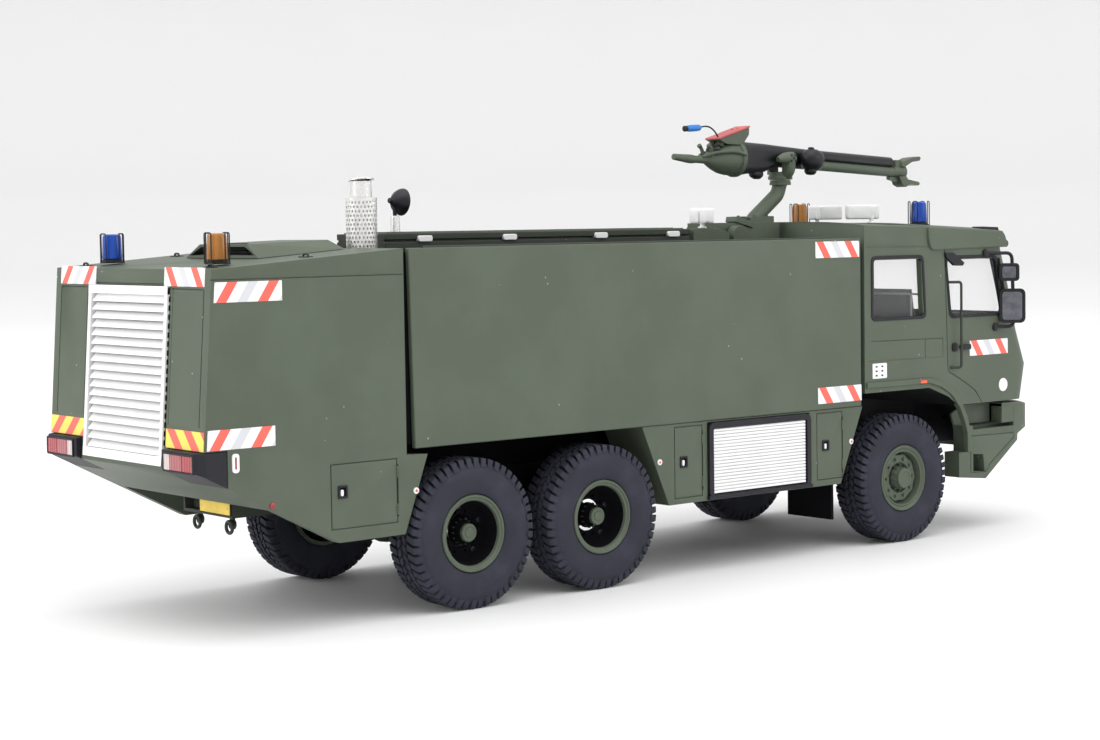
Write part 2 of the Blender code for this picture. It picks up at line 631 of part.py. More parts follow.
def front_bumper():
    half = CAB_WIDTH / 2

    def outline_at(x):
        reach = nose(x)
        return [
            (BUMPER_REAR, 9.3), (BUMPER_REAR, 6.4), (BUMPER_REAR - 4.8, BUMPER_LOW), (-83.3 - reach, 10.0),
            (-83.35 - reach, 10.75), (BUMPER_FRONT - reach, 11.5), (BUMPER_FRONT - reach, BUMPER_TOP - 0.3),
            (BUMPER_FRONT + 1.2 - reach, BUMPER_TOP), (-74.3, BUMPER_TOP), (-72.3, 13.7), (-73.0, 11.8), (-73.0, 9.3),
        ]

    bumper = loft("front_bumper", cab_stations(), outline_at)
    inner = half - BUMPER_WALL
    room = box("bumper_room", (-inner, inner), (BUMPER_REAR + 5, FRAME_FRONT - SEAT_GAP), (BUMPER_LOW - 2, BUMPER_TOP + 2))
    for side in (-1, 1):
        step = box(
            f"step_recess_{side}", (side * (half + 2), side * (half - STEP_DEPTH)), (-73.9, -81.4), (STEP_LOW, STEP_TOP),
        )
        cut(bumper, step)
    return cut(bumper, room)


def door_mirror(name, side):
    """Two mirror heads on one bent arm."""
    x0, x1 = side * (CAB_WIDTH / 2 + SEAT_GAP), side * (CAB_WIDTH / 2 + 2.0)
    upper, lower = 32.4, 23.7
    arm_path = rounded_path([(x0, -76.2, upper), (x1, -79.6, upper), (x1, -79.9, lower), (x0, -78.0, lower)], 0.5)
    mirror = tube(f"door_mirror_{name}", arm_path, 0.2, "black", 2)
    heads = ((-80.4, -77.9, 29.1, 31.2), (-81.4, -78.1, 24.1, 28.2))
    for number, (front, rear, low, top) in enumerate(heads):
        head = box(f"mirror_head_{name}_{number}", (x1 - 0.5, x1 + 0.5), (front, rear), (low, top), "black")
        head.data.materials[0] = LOOKS["black"]
        fuse(mirror, bevel(head, 0.25))
    return mirror


def grab_rail(name, side):
    x0, x1 = side * (CAB_WIDTH / 2 + SEAT_GAP), side * (CAB_WIDTH / 2 + 0.75)
    corners = [(x0, -69.6, 29.2), (x1, -71.0, 29.2), (x1, -71.0, 19.3), (x0, -69.9, 19.3)]
    return tube(f"grab_rail_{name}", rounded_path(corners, 0.35), 0.16, "paint", 2)


# --- roof -----------------------------------------------------------------------------------------
def roof_z(y):
    """The height of the sloping rear roof."""
    share = (y - REAR_BODY_FRONT) / (REAR_TOP_Y - REAR_BODY_FRONT)
    return PANEL_TOP + (REAR_TOP_Z - PANEL_TOP) * share


def roof_walkway():
    half = WALKWAY_WIDTH / 2
    low = CORE_TOP + SEAT_GAP
    walkway = box("roof_walkway", (-half, half), (WALKWAY_REAR, WALKWAY_FRONT), (low, WALKWAY_TOP), "paint")
    for side in (-1, 1):
        groove = box(
            f"walkway_groove_{side}", (side * (half + 1), side * (half - 0.25)), (WALKWAY_REAR + 1, WALKWAY_FRONT - 1), (35.0, 35.2),
        )
        cut(walkway, groove)
    return walkway


def lamp_box():
    """The low box between the walkway and the monitor, which carries the work lamp."""
    half = WALKWAY_WIDTH / 2
    low = CORE_TOP + SEAT_GAP
    outline = [
        (WALKWAY_FRONT - 0.5, low), (WALKWAY_FRONT - 0.6, WALKWAY_TOP), (-42.4, WALKWAY_TOP), (LAMP_BOX_FRONT - 0.4, 35.3), (LAMP_BOX_FRONT - 0.4, low),
    ]
    return prism("roof_lamp_box", outline, (-half, half))


def frustum(name, low, top, look="paint"):
    """A solid between a lower and an upper ring of four corners."""
    faces = [(3, 2, 1, 0), (4, 5, 6, 7), (0, 1, 5, 4), (1, 2, 6, 5), (2, 3, 7, 6), (3, 0, 4, 7)]
    return mesh_object(name, [*low, *top], faces, look)


def four_corners(half, rear, front, height_at):
    return [(x, y, height_at(y)) for x, y in ((-half, rear), (half, rear), (half, front), (-half, front))]


def intake_hatch():
    """A low hood with sloping flanks, open to the rear."""
    half, slope = HATCH_WIDTH / 2, HATCH_FLANK
    low = four_corners(half, HATCH_REAR, HATCH_FRONT, lambda y: roof_z(y) + SEAT_GAP)
    top = four_corners(half - slope, HATCH_REAR - 0.2, HATCH_FRONT + 0.4, hatch_z)
    hatch = frustum("intake_hatch", low, top)
    deep = HATCH_REAR - 2.0
    low = four_corners(half - 0.7, HATCH_REAR + 1, deep, lambda y: roof_z(y) + 0.3)
    top = four_corners(half - slope - 0.3, HATCH_REAR + 1, deep, lambda y: hatch_z(y) - 0.25)
    return cut(hatch, frustum("hatch_mouth", low, top))


def hatch_z(y):
    return HATCH_TOP - 0.3 * (y - HATCH_FRONT) / (HATCH_REAR - HATCH_FRONT)


def exhaust():
    foot = CORE_TOP + SEAT_GAP
    at = (EXHAUST_X, EXHAUST_Y, 0)
    inner = EXHAUST_RADIUS - EXHAUST_WALL
    shield = [(foot, inner), (foot, EXHAUST_RADIUS), (EXHAUST_TOP, EXHAUST_RADIUS), (EXHAUST_TOP, inner)]
    turned("exhaust_shield", shield, "silver", 28, at, "Z")
    pipe_inner = EXHAUST_PIPE_RADIUS - 0.2
    outer = EXHAUST_PIPE_RADIUS
    pipe = [
        (foot, 0), (foot, inner - SEAT_GAP), (foot + 0.4, inner - SEAT_GAP), (foot + 0.4, outer),
        (EXHAUST_PIPE_TOP, outer), (EXHAUST_PIPE_TOP, pipe_inner), (foot + 1.5, pipe_inner), (foot + 1.5, 0),
    ]
    turned("exhaust_pipe", pipe, "silver", 24, at, "Z")


def searchlight():
    """A round lamp on a post that stands on the walkway's rear end."""
    x, y, z = -2.6, -1.1, 38.95
    foot = WALKWAY_TOP + SEAT_GAP
    post = box("searchlight", (x - 0.2, x + 0.2), (y + 0.2, y - 0.6), (foot, 37.9), "black")
    plate = box("searchlight_foot", (x - 0.5, x + 0.5), (y + 0.6, y - 1.0), (foot, foot + 0.3))
    dish = [(-0.9, 0), (-0.9, 0.5), (-0.2, 1.3), (0.45, 1.35), (0.45, 1.15), (0.25, 1.0), (0.25, 0)]
    lamp = turned("searchlight_lamp", dish, "black", 24, (x, y, z), "Y", side=-1)
    return fuse(post, plate, lamp)


def beacon(name, x, y, foot, look):
    radius, top = BEACON_RADIUS, BEACON_HEIGHT
    profile = [
        (0, 0), (0, radius), (0.45, radius), (0.5, radius * 0.72), (top - 0.3, radius * 0.66), (top, radius * 0.45), (top, 0),
    ]
    return turned(name, profile, look, 20, (x, y, foot + SEAT_GAP), "Z")


def work_lamp(name, x, y, foot, width, turn=0.0):
    """A white box lamp on a short stem."""
    stem = turned(name, [(0, 0), (0, 0.5), (0.15, 0.5), (0.15, 0.22), (0.8, 0.22), (0.8, 0)], "white", 12, (0, 0, 0), "Z")
    head = box(f"{name}_head", (-width / 2, width / 2), (-0.6, 0.6), (0.6, 2.2), "white")
    head.parent = stem
    fuse(stem, bevel(head, 0.2))
    stem.location = Vector((x, y, foot + SEAT_GAP)) * MM
    stem.rotation_euler = (0, 0, turn)
    return stem


# --- roof monitor ---------------------------------------------------------------------------------
def monitor_riser():
    foot = CORE_TOP + SEAT_GAP
    top = COLLAR_LOW - SEAT_GAP
    block = box("monitor_riser", (-2.2, 2.2), (LAMP_BOX_FRONT, RISER_FOOT_Y - 2.8), (foot, 36.4))
    path = rounded_path(
        [(0, RISER_FOOT_Y, 35.6), (0, RISER_FOOT_Y - 0.8, 36.8), (0, MONITOR_Y + 0.5, 39.6), (0, MONITOR_Y, top - 0.3)], 1.6, 6,
    )
    pipe = tube("riser_pipe", path, RISER_RADIUS, "paint", 4)
    flange = [(top - 0.35, 0), (top - 0.35, 1.2), (top, 1.2), (top, 0)]
    return fuse(block, lamp_box(), pipe, turned("riser_flange", flange, "paint", 24, (0, MONITOR_Y, 0), "Z"))


def monitor_turret():
    """The collar that swivels on the riser, with two cheeks that hold the trunnion."""
    low, high = COLLAR_LOW, COLLAR_LOW + COLLAR_HEIGHT
    profile = [(low, 0), (low, COLLAR_RADIUS), (high, COLLAR_RADIUS), (high, 0)]
    turret = turned("monitor_turret", profile, "paint", 24, (0, MONITOR_Y, 0), "Z")
    inner = BARREL_RADIUS + 0.35 + CHEEK_GAP
    for side in (-1, 1):
        cheek = [
            (MONITOR_Y - 0.75, high - 0.3), (MONITOR_Y - 0.75, TRUNNION_Z), (MONITOR_Y - 0.3, TRUNNION_Z + 0.7),
            (MONITOR_Y + 0.3, TRUNNION_Z + 0.7), (MONITOR_Y + 0.75, TRUNNION_Z), (MONITOR_Y + 0.75, high - 0.3),
        ]
        plate = prism(f"monitor_cheek_{side}", cheek, (side * inner, side * (inner + 0.35)))
        hole = turned(
            f"trunnion_hole_{side}", [(inner - 0.1, 0), (inner - 0.1, 0.4), (inner + 0.6, 0.4), (inner + 0.6, 0)], "paint", 16,
            (0, MONITOR_Y, TRUNNION_Z), side=side,
        )
        fuse(turret, cut(plate, hole))
    return turret


def monitor_barrel():
    """Everything that tilts: two tubes, the rear casting with its lever, and the forked nozzle.

    It is drawn level about the trunnion at the origin, then leaned and set on the axis.
    """
    radius = BARREL_RADIUS
    upper_z, lower_z = BARREL_UPPER, BARREL_LOWER
    upper = tube("monitor_barrel", [(0, BARREL_REAR, upper_z), (0, -BARREL_FRONT, upper_z)], radius, "black", 3)
    tip = -BARREL_FRONT - 1.4
    lower = tube("barrel_lower", [(0, BARREL_REAR - 1.5, lower_z), (0, tip, lower_z)], radius, "paint", 3)
    parts = [lower]
    for number, y in enumerate((0.0, -9.0, -17.0, 4.6)):
        parts.append(box(f"barrel_strap_{number}", (-radius - 0.2, radius + 0.2), (y - 0.5, y + 0.5), (lower_z - 0.3, upper_z + 0.3)))
    casting = [(-2.6, 0.0), (-2.3, 1.0), (-1.2, 1.55), (0.4, 1.6), (2.0, 1.1), (3.0, 0.5), (3.2, 0.0)]
    parts.append(turned("barrel_casting", casting, "paint", 20, (0, CASTING_Y, CASTING_Z), "Y"))
    parts.append(box("casting_neck", (-0.6, 0.6), (BARREL_REAR - 0.6, CASTING_Y - 1.0), (-0.9, 0.7)))
    parts.append(tube("barrel_lever", [(0, CASTING_Y + 2.2, CASTING_Z), (0, LEVER_END, -1.0)], 0.36, "paint", 2))
    lips = {"upper": (upper_z, 0.9, 0.45), "lower": (lower_z - 0.8, -0.6, -0.45)}
    for label, (root, lift, thick) in lips.items():
        outline = [
            (tip + 2.4, root), (tip - 0.6, root + lift * 0.5), (NOZZLE_END, root + lift), (NOZZLE_END, root + lift - thick),
            (tip - 0.2, root - thick), (tip + 2.4, root - thick),
        ]
        parts.append(prism(f"nozzle_{label}_lip", outline, (-0.9, 0.9)))
    parts.append(box("nozzle_block", (-0.7, 0.7), (tip + 2.2, tip + 0.4), (lower_z - 0.9, upper_z + 0.2)))
    reach = BARREL_RADIUS + 0.35 + CHEEK_GAP + 0.3
    pin = [(-reach, 0), (-reach, 0.32), (reach, 0.32), (reach, 0)]
    parts.append(turned("trunnion_pin", pin, "paint", 16))
    for part in parts:
        part.parent = upper
    fuse(upper, *parts)
    upper.location = Vector((0, MONITOR_Y, TRUNNION_Z)) * MM
    upper.rotation_euler = (BARREL_TILT, 0, 0)
    return upper


def on_barrel(piece):
    """Sets a piece, drawn level about the trunnion, on the leaning barrel."""
    piece.location = Vector((0, MONITOR_Y, TRUNNION_Z)) * MM
    piece.rotation_euler = (BARREL_TILT, 0, 0)
    return piece


def monitor_control_box():
    low = CASTING_Z + 1.6 + SEAT_GAP
    outline = [(11.0, 1.65), (6.2, 3.37), (6.2, 2.3), (7.2, low), (9.8, low)]
    on_barrel(prism("monitor_control_box", outline, (-1.2, 1.2), "red"))


def monitor_spotlight():
    profile = [(-1.1, 0), (-0.8, 0.7), (0.0, 1.1), (0.9, 1.05), (1.0, 0.8), (1.0, 0)]
    gap = BARREL_RADIUS + 0.2 + SEAT_GAP
    lamp = turned("monitor_spotlight", profile, "black", 20, (-gap - 1.1, SPOTLIGHT_Y, 0), "Y", side=-1)
    stem = box("spotlight_stem", (-gap - 1.0, -gap), (SPOTLIGHT_Y - 0.4, SPOTLIGHT_Y + 0.4), (-0.3, 0.3), "black")
    stem.parent = lamp
    fuse(lamp, stem)
    on_barrel(lamp)


# --- the model ------------------------------------------------------------------------------------
for leftover in list(bpy.data.objects):
    bpy.data.objects.remove(leftover)

ROOT = bpy.data.objects.new("truck", None)
bpy.context.scene.collection.objects.link(ROOT)
ROOT.location = (0, MIDDLE_SHIFT * MM, 0)

LOOKS = {
    "paint": finish_material("olive_paint", PAINT, 0.5),
    "black": finish_material("black_plastic", BLACK, 0.45),
    "rubber": finish_material("tyre_rubber", RUBBER, 0.85),
    "steel": finish_material("steel", SILVER, 0.35, 1.0),
    "silver": finish_material("silver_metal", SILVER, 0.4, 1.0),
    "white": finish_material("white_enamel", WHITE, 0.4),
    "glass": finish_material("clear_glazing", (0.9, 0.93, 0.93), 0.05),
    "seat": finish_material("grey_interior", (0.09, 0.09, 0.1), 0.7),
    "blue": finish_material("blue_lens", (0.01, 0.06, 0.5), 0.15),
    "amber": finish_material("amber_lens", (0.8, 0.2, 0.01), 0.15),
    "red": finish_material("red_enamel", (0.6, 0.05, 0.04), 0.4),
}

for label, place in AXLES.items():
    steered = label == "front"
    wheelset(label, place, 0.9 if steered else 2.3, 2.1 if steered else 1.2)
    axle_housing(label, place)
chassis_frame()

body_core()
mirrored(side_panel)
mirrored(mid_locker)
mirrored(roller_shutter)
rear_body()
rear_grille()
mirrored(tail_lamp)
tow_bracket()
mirrored(front_mudflap)

cab_shell()
cab_glazing()
cab_interior()
steering_wheel()
front_bumper()
mirrored(door_mirror)
mirrored(grab_rail)

roof_walkway()
intake_hatch()
exhaust()
searchlight()
for beacon_x, beacon_look in ((9.6, "blue"), (-9.6, "amber")):
    beacon(f"rear_beacon_{beacon_look}", beacon_x, 24.4, roof_z(24.4) + 0.1, beacon_look)
    cab_x = -beacon_x
    beacon(f"cab_beacon_{beacon_look}", cab_x, -70.0, 35.75, beacon_look)
work_lamp("deck_work_lamp", -3.2, -41.2, WALKWAY_TOP, 2.9)
mirrored(lambda side_name, side: work_lamp(f"cab_work_lamp_{side_name}", side * 4.4, -67.6, 36.05, 4.2))

monitor_riser()
monitor_turret()
monitor_barrel()
monitor_control_box()
monitor_spotlight()
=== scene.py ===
"""Display model of an airport fire truck: the finished look of every piece, built around its frame.

Sizes are in millimetres. X runs to the vehicle's left, Z up from the floor, and Y back from the rearmost axle.
"""
import json
import math

import bmesh
import bpy
from mathutils import Euler, Matrix, Vector


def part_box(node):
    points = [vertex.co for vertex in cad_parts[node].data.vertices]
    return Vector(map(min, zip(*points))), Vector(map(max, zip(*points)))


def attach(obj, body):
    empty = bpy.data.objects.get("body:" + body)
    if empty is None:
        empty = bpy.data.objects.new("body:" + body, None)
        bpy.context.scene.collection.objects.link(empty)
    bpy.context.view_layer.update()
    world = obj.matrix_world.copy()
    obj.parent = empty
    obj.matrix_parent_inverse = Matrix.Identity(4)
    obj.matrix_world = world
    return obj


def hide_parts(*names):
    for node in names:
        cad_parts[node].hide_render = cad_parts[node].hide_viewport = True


bl_info = {
    "name": "Airport Fire Truck Model",
    "version": (1, 0, 0),
    "blender": (4, 5, 0),
    "location": "View3D > Sidebar > Fire Truck",
    "description": "Builds the visible pieces and finishes of a fire truck display model",
    "category": "Object",
}

MM = 0.001
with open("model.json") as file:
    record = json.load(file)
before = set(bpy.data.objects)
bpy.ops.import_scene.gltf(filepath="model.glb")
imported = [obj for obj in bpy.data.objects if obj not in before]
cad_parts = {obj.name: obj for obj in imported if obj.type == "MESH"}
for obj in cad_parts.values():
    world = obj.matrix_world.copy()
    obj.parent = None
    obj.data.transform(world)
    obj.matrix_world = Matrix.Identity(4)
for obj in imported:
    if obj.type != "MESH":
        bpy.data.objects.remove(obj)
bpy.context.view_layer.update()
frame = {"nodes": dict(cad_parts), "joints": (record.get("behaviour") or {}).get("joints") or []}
NODES = frame["nodes"]
JOINTS = {joint["name"]: joint for joint in frame["joints"]}
REAR_AXLE_Y = JOINTS["rear_2_wheels_roll"]["pos_m"][1] / MM
TO_METRES = Matrix.Scale(MM, 4) @ Matrix.Translation((0, REAR_AXLE_Y, 0))
SIDES = {"right": -1, "left": 1}


class Box:
    """A node's box, in millimetres."""

    def __init__(self, node):
        low, high = (TO_METRES.inverted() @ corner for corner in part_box(node))
        self.low, self.high = low, high
        self.front, self.rear = low.y, high.y
        self.bottom, self.top = low.z, high.z
        self.half = max(abs(low.x), abs(high.x))
        self.middle = (low + high) / 2


def joint_place(name):
    x, y, z = JOINTS[name]["pos_m"]
    return TO_METRES.inverted() @ Vector((x, y, z))


WHEEL = Box("rear_2_tyre_left")
RIM = Box("rear_2_rim_left")
TAIL = Box("rear_body")
PANEL = Box("side_panel_left")
LOCKER = Box("mid_locker_left")
SHUTTER = Box("roller_shutter_left")
GRILLE = Box("rear_grille")
CAB = Box("cab_shell")
BUMPER = Box("front_bumper")
WALKWAY = Box("roof_walkway")
CORE = Box("body_core")
MONITOR_SWIVEL = joint_place("monitor_turn")
TRUNNION = joint_place("monitor_pitch")

# The tail's face leans forward as it rises.
TAIL_LEAN = 1.25 / 17.9
TAIL_FOOT = 15.1
EDGE = 0.09          # the small round on a moulded edge
GROOVE = 0.11        # the width of an engraved line


# --- sizes and colours a user may change ----------------------------------------------------------
def colour(label, about, value):
    return bpy.props.FloatVectorProperty(
        name=label, description=about, default=value, size=3, min=0.0, max=1.0, subtype="COLOR")


def length(label, about, value):
    return bpy.props.FloatProperty(
        name=label, description=about, default=value * MM, min=0.01 * MM, unit="LENGTH", subtype="DISTANCE")


def count(label, about, value, low):
    return bpy.props.IntProperty(name=label, description=about, default=value, min=low)


class FireTruckColours(bpy.types.PropertyGroup):
    """Colours of the finishes"""

    paint: colour("Paint", "Olive paint of the body", (0.082, 0.103, 0.072))
    tyre: colour("Tyres", "Rubber of the tyres", (0.03, 0.031, 0.045))
    black: colour("Black plastic", "Mirrors, frames and seals", (0.007, 0.007, 0.01))
    enamel: colour("White enamel", "Louvres, shutters and lamps", (0.86, 0.86, 0.86))
    warning: colour("Warning red", "Red bands of the warning stripes", (0.86, 0.12, 0.085))
    blue: colour("Blue lens", "Blue beacons", (0.001, 0.06, 0.42))
    amber: colour("Amber lens", "Amber beacons", (0.42, 0.17, 0.03))


class FireTruckSizes(bpy.types.PropertyGroup):
    """Sizes of the details"""

    tread_blocks: count("Tread blocks", "Blocks around each shoulder of a tyre", 50, 12)
    wheel_nuts: count("Wheel nuts", "Nuts around a rim's disc", 10, 4)
    louvres: count("Louvres", "Slats in the tail's grille", 18, 4)
    shutter_slats: count("Shutter slats", "Slats in a roller shutter", 20, 4)
    stripe_height: length("Stripe height", "Height of a warning stripe", 1.78)
    stripe_length: length("Stripe length", "Length of a side warning stripe", 6.95)
    rubber_width: length("Window rubber", "Width of the rubber around a window", 0.36)


def settings():
    return bpy.context.scene.fire_truck_sizes


def colours():
    return bpy.context.scene.fire_truck_colours


# --- shader maths ---------------------------------------------------------------------------------
class Value:
    """A node's output; arithmetic on it adds Math nodes."""

    def __init__(self, finish, socket):
        self.finish, self.socket = finish, socket

    def math(self, operation, *values):
        return self.finish.node("ShaderNodeMath", {"operation": operation}, dict(enumerate(values)))

    def __add__(self, other):
        return self.math("ADD", self, other)

    def __radd__(self, other):
        return self.math("ADD", other, self)

    def __sub__(self, other):
        return self.math("SUBTRACT", self, other)

    def __rsub__(self, other):
        return self.math("SUBTRACT", other, self)

    def __mul__(self, other):
        return self.math("MULTIPLY", self, other)

    def __rmul__(self, other):
        return self.math("MULTIPLY", other, self)

    def __truediv__(self, other):
        return self.math("DIVIDE", self, other)

    def __gt__(self, other):
        return self.math("GREATER_THAN", self, other)

    def __lt__(self, other):
        return self.math("LESS_THAN", self, other)

    def fraction(self):
        return self.math("FRACT", self)

    def between(self, low, high):
        """Rises from 0 at low to 1 at high."""
        return self.finish.node(
            "ShaderNodeMapRange", {"interpolation_type": "SMOOTHSTEP"}, {0: self, 1: low, 2: high, 3: 0.0,
                4: 1.0})


class Finish:
    """A material under construction."""

    def __init__(self, name, base, roughness, metallic=0.0, **sockets):
        self.material = bpy.data.materials.new(name)
        self.material.use_nodes = True
        self.tree = self.material.node_tree
        self.shader = self.tree.nodes["Principled BSDF"]
        self.name, self.base = name, tuple(base)
        self.put("Base Color", (*base, 1.0))
        self.put("Roughness", roughness)
        self.put("Metallic", metallic)
        for label, value in sockets.items():
            self.put(label.replace("_", " ").title().replace("Ior", "IOR"), value)

    def put(self, label, value):
        socket = self.shader.inputs[label]
        if isinstance(value, Value):
            self.tree.links.new(value.socket, socket)
        else:
            socket.default_value = value

    def node(self, kind, options=None, inputs=None, output=0):
        node = self.tree.nodes.new(kind)
        for label, value in (options or {}).items():
            if label == "stops":
                self._stops(node.color_ramp, value)
            else:
                setattr(node, label, value)
        for label, value in (inputs or {}).items():
            if isinstance(value, Value):
                self.tree.links.new(value.socket, node.inputs[label])
            else:
                node.inputs[label].default_value = value
        return Value(self, node.outputs[output])

    @staticmethod
    def _stops(ramp, stops):
        while len(ramp.elements) < len(stops):
            ramp.elements.new(1.0)
        for element, (place, shade) in zip(ramp.elements, stops):
            element.position = place
            element.color = (*shade, 1.0)

    def place(self, output="Object"):
        return self.node("ShaderNodeTexCoord", output=output)

    def noise(self, size_mm, detail=3.0, roughness=0.55):
        """Soft noise whose features are about size_mm across."""
        return self.node("ShaderNodeTexNoise", None, {
            "Vector": self.place(), "Scale": 1 / (size_mm * MM), "Detail": detail, "Roughness": roughness})

    def specks(self, spacing_mm, share):
        """1 in small round specks, 0 elsewhere."""
        cells = self.node("ShaderNodeTexVoronoi", None,
            {"Vector": self.place(), "Scale": 1 / (spacing_mm * MM)})
        return cells < share

    def mix(self, factor, first, second):
        def tone(value):
            return value if isinstance(value, Value) else (*value, 1.0)
        return self.node(
            "ShaderNodeMix", {"data_type": "RGBA"}, {"Factor": factor, 6: tone(first),
                7: tone(second)}, output=2)

    def bump(self, height, depth_mm, strength=1.0):
        self.put("Normal", self.node(
            "ShaderNodeBump", None, {"Height": height, "Distance": depth_mm * MM, "Strength": strength}))


def tinted(shade, factor):
    return tuple(min(1.0, channel * factor) for channel in shade)


LOOKS = {}
SLOTS = {}


def register_look(key, finish, slot):
    LOOKS[key], SLOTS[key] = finish.material, slot
    return finish


def paint_finish(key, base, roughness=0.46):
    """Satin paint with an uneven sprayed surface and a few dust specks."""
    finish = register_look(key, Finish(f"{key}_finish", base, roughness, specular_ior_level=0.38),
        "olive_paint")
    cloud = finish.noise(9.0, 4.0)
    grain = finish.noise(0.14, 2.0)
    dust = finish.specks(2.4, 0.035)
    tone = finish.mix(cloud.between(0.35, 0.7), tinted(base, 0.93), tinted(base, 1.08))
    finish.put("Base Color", finish.mix(dust * 0.5, tone, (0.55, 0.56, 0.52)))
    finish.put("Roughness", roughness - 0.05 + cloud * 0.1 + grain * 0.06)
    finish.bump(grain, 0.012)
    return finish


def plastic_finish(key, base, roughness, slot, grain_mm=0.2, depth=0.006, shine=0.35, cloudy=0.13):
    finish = register_look(key, Finish(f"{key}_finish", base, roughness, specular_ior_level=shine), slot)
    grain = finish.noise(grain_mm, 2.0)
    cloud = finish.noise(3.0)
    finish.put("Base Color", finish.mix(cloud.between(0.3, 0.75), tinted(base, 1 - cloudy),
        tinted(base, 1 + cloudy)))
    finish.put("Roughness", roughness - 0.04 + cloud * 0.12)
    finish.bump(grain, depth)
    return finish


def rubber_finish(base):
    finish = register_look("tyre", Finish("tyre_finish", base, 0.8, specular_ior_level=0.25), "tyre")
    cloud = finish.noise(2.6, 5.0)
    grain = finish.noise(0.1, 2.0)
    dust = finish.specks(0.9, 0.05) * finish.noise(1.6).between(0.55, 0.75)
    scuffed = finish.mix(cloud.between(0.4, 0.75), tinted(base, 0.88), tinted(base, 1.3))
    finish.put("Base Color", finish.mix(dust * 0.55, scuffed, (0.4, 0.4, 0.4)))
    finish.put("Roughness", 0.66 + cloud * 0.2)
    finish.bump(grain, 0.01)


def metal_finish(key, base, roughness, slot, metallic=1.0):
    finish = register_look(key, Finish(f"{key}_finish", base, roughness, metallic), slot)
    grain = finish.noise(0.25, 3.0)
    finish.put("Base Color", finish.mix(grain.between(0.3, 0.8), tinted(base, 0.9), tinted(base, 1.06)))
    finish.put("Roughness", roughness - 0.06 + grain * 0.16)
    finish.bump(grain, 0.004)


def lens_finish(key, base, slot, ribs_mm=0.22, alpha=1.0):
    """Clear coloured plastic with moulded upright ribs; across the ribs its colour carries painted highlight and
    shade, mixed with a random tone.
    """
    finish = Finish(f"{key}_finish", base, 0.16, coat_weight=0.3, coat_roughness=0.1, alpha=alpha,
        specular_ior_level=0.3)
    register_look(key, finish, slot)
    where = finish.node("ShaderNodeSeparateXYZ", None, {0: finish.place()})
    ribs = (where + where.finish.node("ShaderNodeSeparateXYZ", None, {0: finish.place()},
        output=1)) / (ribs_mm * MM)
    wave = ribs.math("PINGPONG", ribs, 1.0)
    cloud = finish.noise(0.8)
    # Painted highlight and shade across the ribs, mixed with a random cloudy tone.
    finish.put("Base Color", finish.mix(wave * 0.6 + cloud * 0.4, tinted(base, 0.72), tinted(base, 1.2)))
    finish.bump(wave, 0.03)


def stripe_finish(key, axis, lean, start, bands, period, slot="white_enamel"):
    """Slanting bands across a sticker from `start`; lean is a band's shift over the sticker's height."""
    finish = register_look(key, Finish(f"{key}_finish", (0.85, 0.85, 0.85), 0.35, coat_weight=0.25), slot)
    inside = finish.place("Generated")
    along = finish.node("ShaderNodeSeparateXYZ", None, {0: inside}, output=axis)
    up = finish.node("ShaderNodeSeparateXYZ", None, {0: inside}, output=2)
    place = (along - up * lean + 3 * period - start) / period
    ramp = {"stops": bands}
    shades = finish.node("ShaderNodeValToRGB", ramp, {0: place.fraction()})
    shades.socket.node.color_ramp.interpolation = "CONSTANT"
    worn = finish.noise(0.5, 4.0).between(0.62, 0.8)
    finish.put("Base Color", finish.mix(worn * 0.12, shades, (0.5, 0.5, 0.48)))
    finish.put("Roughness", 0.3 + finish.noise(0.3) * 0.15)


def glass_finish():
    finish = register_look("glass", Finish("glass_finish", (0.95, 0.96, 0.96), 0.03, alpha=0.05),
        "clear_glazing")
    haze = finish.noise(4.0, 3.0)
    finish.put("Roughness", 0.02 + haze * 0.04)
    finish.material.surface_render_method = "BLENDED"


def mirror_finish():
    finish = register_look("mirror", Finish("mirror_finish", (0.1, 0.1, 0.12), 0.05, 1.0), "black_plastic")
    haze = finish.noise(0.9, 3.0)
    finish.put("Base Color", finish.mix(haze.between(0.2, 0.8), (0.1, 0.1, 0.12), (0.17, 0.17, 0.19)))
    finish.put("Roughness", 0.04 + haze * 0.08)


